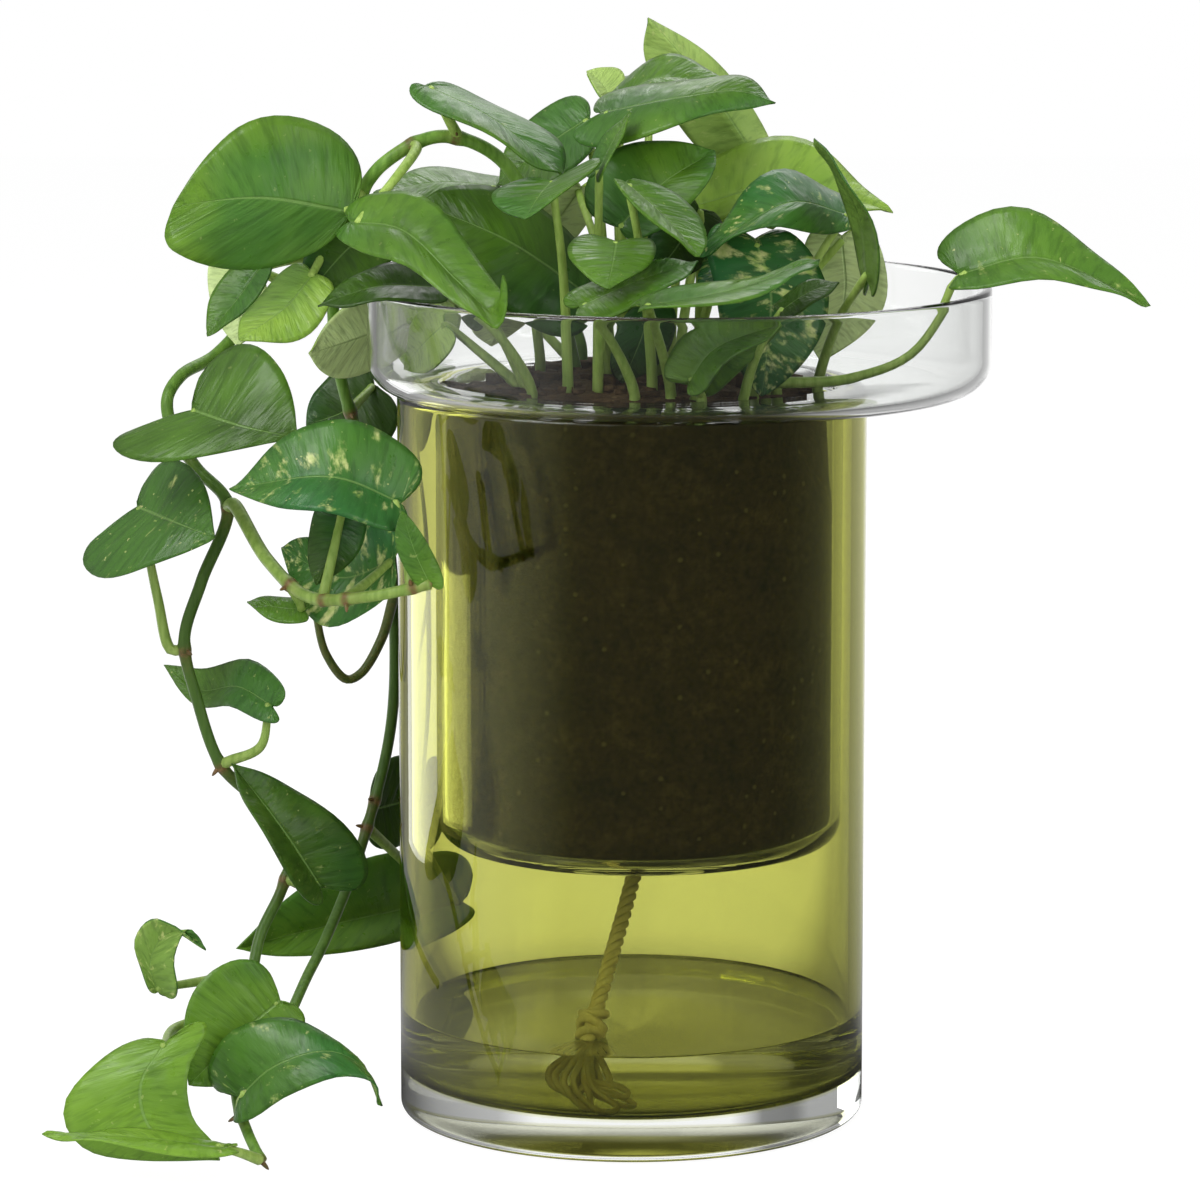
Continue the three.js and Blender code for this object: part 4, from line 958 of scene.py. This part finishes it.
def blade(places, left, right, look, wave, seed, underside):
    """A heart-shaped blade of ribs that leave the midrib and reach the edge, as one closed thin shell."""
    midrib = spline(places, MIDRIB_POINTS)
    size = length_of(midrib)
    start = unit(midrib[1] - midrib[0])
    left, right = vec(*left), vec(*right)
    normals = units(np.cross(units(np.gradient(midrib, axis=0)), right - left))
    if (normals.mean(axis=0) @ vec(0, -0.45, 0.9) < 0) != underside:
        left, right, normals = right, left, -normals
    edge = spline([(a, b, 0) for a, b in LEAF_OUTLINE], LEAF_RIBS + 1)
    grid = np.linspace(0, 1, MIDRIB_POINTS)
    points, ribs, index = [], [], {}

    def along(rows, x):
        return vec(*(np.interp(x, grid, rows[:, k]) for k in range(3)))

    def point(side, i, j):
        """The number of the point on a rib; ribs share the base, the tip and the midrib's points."""
        share, reach = i / LEAF_RIBS, j / LEAF_STEPS
        root = max(0.0, (share - FAN_SHARE) / (1 - FAN_SHARE)) ** 0.9
        key = (side, i, j)
        if i == 0 or j == 0 and root == 0:
            key = "base"
        elif i == LEAF_RIBS:
            key = "tip"
        elif j == 0:
            key = i
        if key not in index:
            x, y = root + (edge[i][0] - root) * reach ** 1.15, edge[i][1] * reach
            if key == "base":
                x, y = 0.0, 0.0
            spot = along(midrib, x) + start * min(x, 0.0) * size + (left if side < 0 else right) * y
            phase = RIPPLES * share + seed + (0.3 if side < 0 else 0)
            ripple = wave * reach ** 2 * math.sin(2 * math.pi * phase)
            puff = PUFF_SHARE * size * math.sin(math.pi * reach) * min(1.0, 4 * share) * (1 - share ** 3)
            quilt = QUILT_SHARE * size * math.cos(2 * math.pi * QUILTS * share) * math.sin(math.pi * reach)
            index[key] = len(points)
            points.append(spot + along(normals, x) * (ripple + puff + quilt))
            ribs.append((share, 0.0 if j == 0 else side * reach, 0.0))
        return index[key]

    faces = []
    for side in (-1, 1):
        for i in range(LEAF_RIBS):
            for j in range(LEAF_STEPS):
                corners = [point(side, i + a, j + b) for a, b in ((0, 0), (1, 0), (1, 1), (0, 1))]
                faces += [face if side > 0 else face[::-1] for face in joined(corners)]
    points = np.array(points)
    lean = np.zeros_like(points)
    for face in faces:
        a, b, c = points[face[0]], points[face[1]], points[face[2]]
        lean[face] += np.cross(b - a, c - a)
    lean /= np.maximum(np.linalg.norm(lean, axis=1), 1e-9)[:, None]
    return shell(points, faces, lean, ribs, look, seed)


def shell(points, faces, normals, ribs, look, seed):
    """Gives a sheet its thickness: top, underside and the edge between them."""
    count = len(points)
    half = normals * (LEAF_THICKNESS / 2)
    full = [tuple(p) for p in points + half] + [tuple(p) for p in points - half]
    edges = dict.fromkeys((a, b) for face in faces for a, b in zip(face, face[1:] + face[:1]))
    rim = [(b, a, a + count, b + count) for a, b in edges if (b, a) not in edges]
    under = [tuple(i + count for i in face[::-1]) for face in faces]
    values = {"rib": ribs * 2, "look": [(look[0], look[1], seed * 10)] * (2 * count)}
    return full, faces + rim, under, values


def add_leaf(parts, places, left, right, name, seed, skin=0):
    """Adds a blade with its upper side in one material and its underside in the next."""
    look = LEAF_LOOKS.get(name, COMMON_LOOK)
    wave = RIPPLE_SHARE * length_of(spline(places, 20))
    full, top, under, values = blade(places, left, right, look, wave, seed, name in SHOW_UNDERSIDE)
    parts.add(full, top + under, [skin] * len(top) + [skin + 1] * len(under), **values)


def add_stalk(parts, places):
    """A stalk that gets thinner, with a collar just under the blade and a brown foot."""
    line = spline(places, 26)
    share = np.linspace(0, 1, len(line))
    thick, thinner = STALK_TAPER
    swell, at, width = STALK_COLLAR
    radii = PETIOLE_RADIUS * (thick - thinner * share + swell * np.exp(-((share - at) / width) ** 2))
    points, faces = sweep(line, radii, 10)
    parts.add(points, faces, 2, node=[0.2 * math.exp(-i / 30) for i in range(len(points))])


def grow(name, spots, left, right, way, solid=True):
    """One leaf with its stalk, in place of its solid where it has one."""
    parts = Parts()
    add_leaf(parts, spots, left, right, name, rng.random())
    add_stalk(parts, [*way, spline(spots, MIDRIB_POINTS)[2]])
    skins = [LEAF_TOP, LEAF_UNDER, STALK]
    if solid:
        parts.build(name + "_grown", skins, "plant", "leaf", name)
    else:
        parts.build(name, skins, "plant", "leaf")


def soil_root(x, y):
    """Where a stalk leaves the soil when its leaf's row doesn't say: nearer to the middle than the leaf."""
    distance = math.hypot(x, y)
    spread = ROOT_SPREAD * (1 - math.exp(-distance / ROOT_REACH)) / distance
    return x * spread, y * spread


def sprout(root):
    """The first two places of a stalk that comes up out of the soil."""
    return [root + vec(0, 0, -STALK_SET), root + vec(0, 0, SPROUT_LENGTH)]


def crown_leaf(name, places, left, right, foot=None):
    root = on_soil(*(foot or soil_root(*places[0][:2])))
    spots = [crown(*p) for p in places]
    rise = root + (spots[0] - root) * STALK_BEND_OUT
    rise[2] = root[2] + (spots[0][2] - root[2]) * STALK_BEND_UP
    grow(name, spots, left, right, [*sprout(root), rise])


def outlier_leaf():
    places, left, right = OUTLIER_LEAF
    way = [*sprout(on_soil(*OUTLIER_ROOT)), *(far_rim(*p) for p in OUTLIER_STALK)]
    grow("outlier_leaf", [far_rim(*p) for p in places], left, right, way)


def trail_leaf(name, vine, places, left, right, start=None, passing=None):
    """Grows a leaf from a vine and gives the number of the place where it leaves the stem."""
    spots = [trail(*p) for p in places]
    towards = trail(*passing) if passing else spots[0]
    root, outward, at = branch(vine, trail(*(start or places[0])), towards)
    way = [root, root + (spots[0] - root) * 0.5 + outward * PETIOLE_RADIUS]
    if passing:
        way = [root, root + outward * SPROUT_LENGTH, towards]
    grow(name, spots, left, right, way)
    return at


def filler_leaf(name, space, places, left, right, root):
    spots = [space(*p) for p in places]
    way = [root, (root + spots[0]) / 2 + vec(0.4, 0.8, 0), spots[0]]
    grow(name, spots, left, right, way, solid=False)


def vine_stem(name, joints):
    """A stem that swells at its joints, with brown rings and a stub of root at each one."""
    line = LINES[name]
    step = length_of(line) / (len(line) - 1)
    thick = STEM_RADIUS * (STEM_TAPER[0] - STEM_TAPER[1] * np.linspace(0, 1, len(line)))
    mark = np.zeros(len(line))
    for at in joints:
        away = (np.arange(len(line)) - at) * step
        thick = thick * (1 + JOINT_SWELL[0] * np.exp(-(away / JOINT_SWELL[1]) ** 2))
        for strength, place, width in JOINT_MARKS:
            mark = np.maximum(mark, strength * np.exp(-((away - place) / width) ** 2))
    parts = Parts()
    sides = 14
    points, faces = sweep(line, thick, sides)
    parts.add(points, faces, node=[0.8] + [float(m) for m in np.repeat(mark, sides)] + [0.9])
    tangents, across, up = frames_along(line)
    for at in joints:
        turn = rng.uniform(0, FULL_TURN)
        out = math.cos(turn) * across[at] + math.sin(turn) * up[at]
        stub = np.array([line[at] + out * d + tangents[at] * (0.3 * d) for d in STUB_DISTANCES])
        points, faces = sweep(stub, STUB_RADII, 8)
        parts.add(points, faces, node=[1.0] * len(points))
    materials = [STEM]
    if name == BEHIND:
        loop = spline([trail(*p) for p in LOOP_STEM], 60)
        points, faces = sweep(loop, np.linspace(*LOOP_STEM_RADII, 60), 12)
        parts.add(points, faces, node=[0.35] * len(points))
    if name == SHOOT:
        places, left, right = SHOOT_LEAF
        add_leaf(parts, [trail(*p) for p in places], left, right, "shoot_leaf", SHOOT_LEAF_SEED, 1)
        materials = [STALK, LEAF_TOP, LEAF_UNDER]
    parts.build(name + "_grown", materials, "plant", "stem", name)


for number, row in enumerate(CROWN_LEAVES, 1):
    crown_leaf(CROWN_NAME % number, *row)
outlier_leaf()
vine_joints = {name: [] for name in LINES}
for number, row in enumerate(TRAIL_LEAVES, 1):
    vine_joints[row[0]].append(trail_leaf(TRAIL_NAME % number, *row))
vine_joints[LONG].append(shoot_joint)
for vine, joints in vine_joints.items():
    vine_stem(vine, joints)
for number, row in enumerate(FILLER_LEAVES, 1):
    filler_leaf(FILLER_NAME % number, *row)


# Stage

# Levels of the studio by bearing, as glass shows it: 0 degrees is the backdrop, -90 the left
STUDIO_STOPS = [
    (-180, 0.12), (-150, 0.14), (-125, 0.45), (-105, 0.70), (-72, 0.52), (-38, 0.42), (-33, 0.22),
    (-24, 0.25), (-17, 1.0), (17, 1.0), (25, 0.5), (45, 0.35), (62, 0.18), (100, 0.10), (180, 0.12),
]


def studio(net, direction):
    """The studio's level in a direction."""
    aside, ahead, _ = net.split(direction)
    share = net.calc("MULTIPLY_ADD", net.calc("ARCTAN2", aside, ahead), 0.5 / math.pi, 0.5)
    return net.ramp(share, *(((angle + 180) / 360, level) for angle, level in STUDIO_STOPS))


def ray_kinds(net):
    """Whether a ray comes from glass or a glossy surface, and whether it comes from the camera."""
    rays = net.add("ShaderNodeLightPath")
    shiny = net.calc("MAXIMUM", rays["Is Glossy Ray"], rays["Is Transmission Ray"])
    return shiny, rays["Is Camera Ray"]


def make_floor():
    """White to the camera with a faint shadow, the studio with a painted shadow under and round the vessel
    to glass, and plain paper to everything else.
    """
    material = bpy.data.materials.new("floor_paper")
    material.use_nodes = True
    tree = material.node_tree
    tree.nodes.remove(tree.nodes["Principled BSDF"])
    net = Nodes(tree, "Material Output")
    shiny, direct = ray_kinds(net)
    place = net.add("ShaderNodeNewGeometry")["Position"]
    away = net.add("ShaderNodeVectorMath", {0: place}, operation="LENGTH")["Value"]
    # Painted shadow: the studio as glass sees it on the floor, darkened under and round the vessel
    around = net.blend(1.0, studio(net, place), net.ramp(away, *FLOOR_PAINTED_SHADOW), "MULTIPLY")
    paper = net.add("ShaderNodeBsdfDiffuse", {"Color": grey(0.85)})[0]
    shaded = net.add("ShaderNodeBsdfDiffuse", {"Color": grey(SHADOW_SHARE)})[0]
    white = net.glow("ShaderNodeEmission", grey(1.0), FLOOR_WHITE)
    backdrop = net.add("ShaderNodeAddShader", {0: white, 1: shaded})[0]
    seen = net.glow("ShaderNodeEmission", around, 1.0)
    net.link(net.mix(shiny, net.mix(direct, paper, backdrop), seen), "Surface")
    mesh = bpy.data.meshes.new("floor")
    corners = [(x * FLOOR_HALF, y * FLOOR_HALF, FLOOR_LOW) for x, y in ((-1, -1), (1, -1), (1, 1), (-1, 1))]
    mesh.from_pydata(corners, [], [(0, 1, 2, 3)])
    mesh.materials.append(material)
    floor = bpy.data.objects.new("floor", mesh)
    scene.collection.objects.link(floor)


def make_world():
    """White to the camera, the studio to glass, soft light to everything else."""
    world = bpy.data.worlds.new("studio")
    scene.world = world
    world.use_nodes = True
    tree = world.node_tree
    tree.nodes.clear()
    net = Nodes(tree, tree.nodes.new("ShaderNodeOutputWorld").name)
    shiny, direct = ray_kinds(net)
    direction = net.add("ShaderNodeTexCoord")["Generated"]
    overhead = net.stretch(net.split(direction)[2], 0.35, 0.75, 0.0, OVERHEAD)
    around = net.blend(1.0, studio(net, direction), overhead, "LIGHTEN")
    soft = net.glow("ShaderNodeBackground", grey(1.0), SOFT_LIGHT)
    white = net.glow("ShaderNodeBackground", grey(1.0), 1.0)
    seen = net.glow("ShaderNodeBackground", around, 1.0)
    net.link(net.mix(direct, net.mix(shiny, soft, seen), white), "Surface")


def make_light(name, place, size, power, target=(0, 0, 0.17), through_glass=True, mirrored=True):
    data = bpy.data.lights.new(name, "AREA")
    data.shape = "RECTANGLE"
    data.size, data.size_y = size
    data.energy = power
    light = bpy.data.objects.new(name, data)
    light.location = place
    light.visible_transmission = through_glass
    light.visible_glossy = mirrored
    aim = Vector(target) - light.location
    light.rotation_euler = aim.to_track_quat("-Z", "Y").to_euler()
    scene.collection.objects.link(light)


make_floor()
make_world()
make_light("key", (-1.0, -0.8, 1.6), (0.9, 0.9), 16)
make_light("front", (-1.1, -1.6, 0.85), (2.0, 1.2), 14.5, mirrored=False)
make_light("low_front", (1.0, -1.6, 0.80), (1.8, 1.2), 11, mirrored=False)
make_light("fill", (1.5, -1.0, 0.9), (0.8, 1.2), 6.5)
make_light("back", (0.3, 1.3, 1.4), (1.2, 0.6), 6.5, through_glass=False)
make_light("side_panel", (-0.39, 0.225, 0.065), (0.26, 0.12), 0.22, (0, 0, 0.065))

scene.view_settings.view_transform = "Standard"
scene.cycles.max_bounces = 32
scene.cycles.transmission_bounces = 32
scene.cycles.glossy_bounces = 12
scene.cycles.transparent_max_bounces = 32
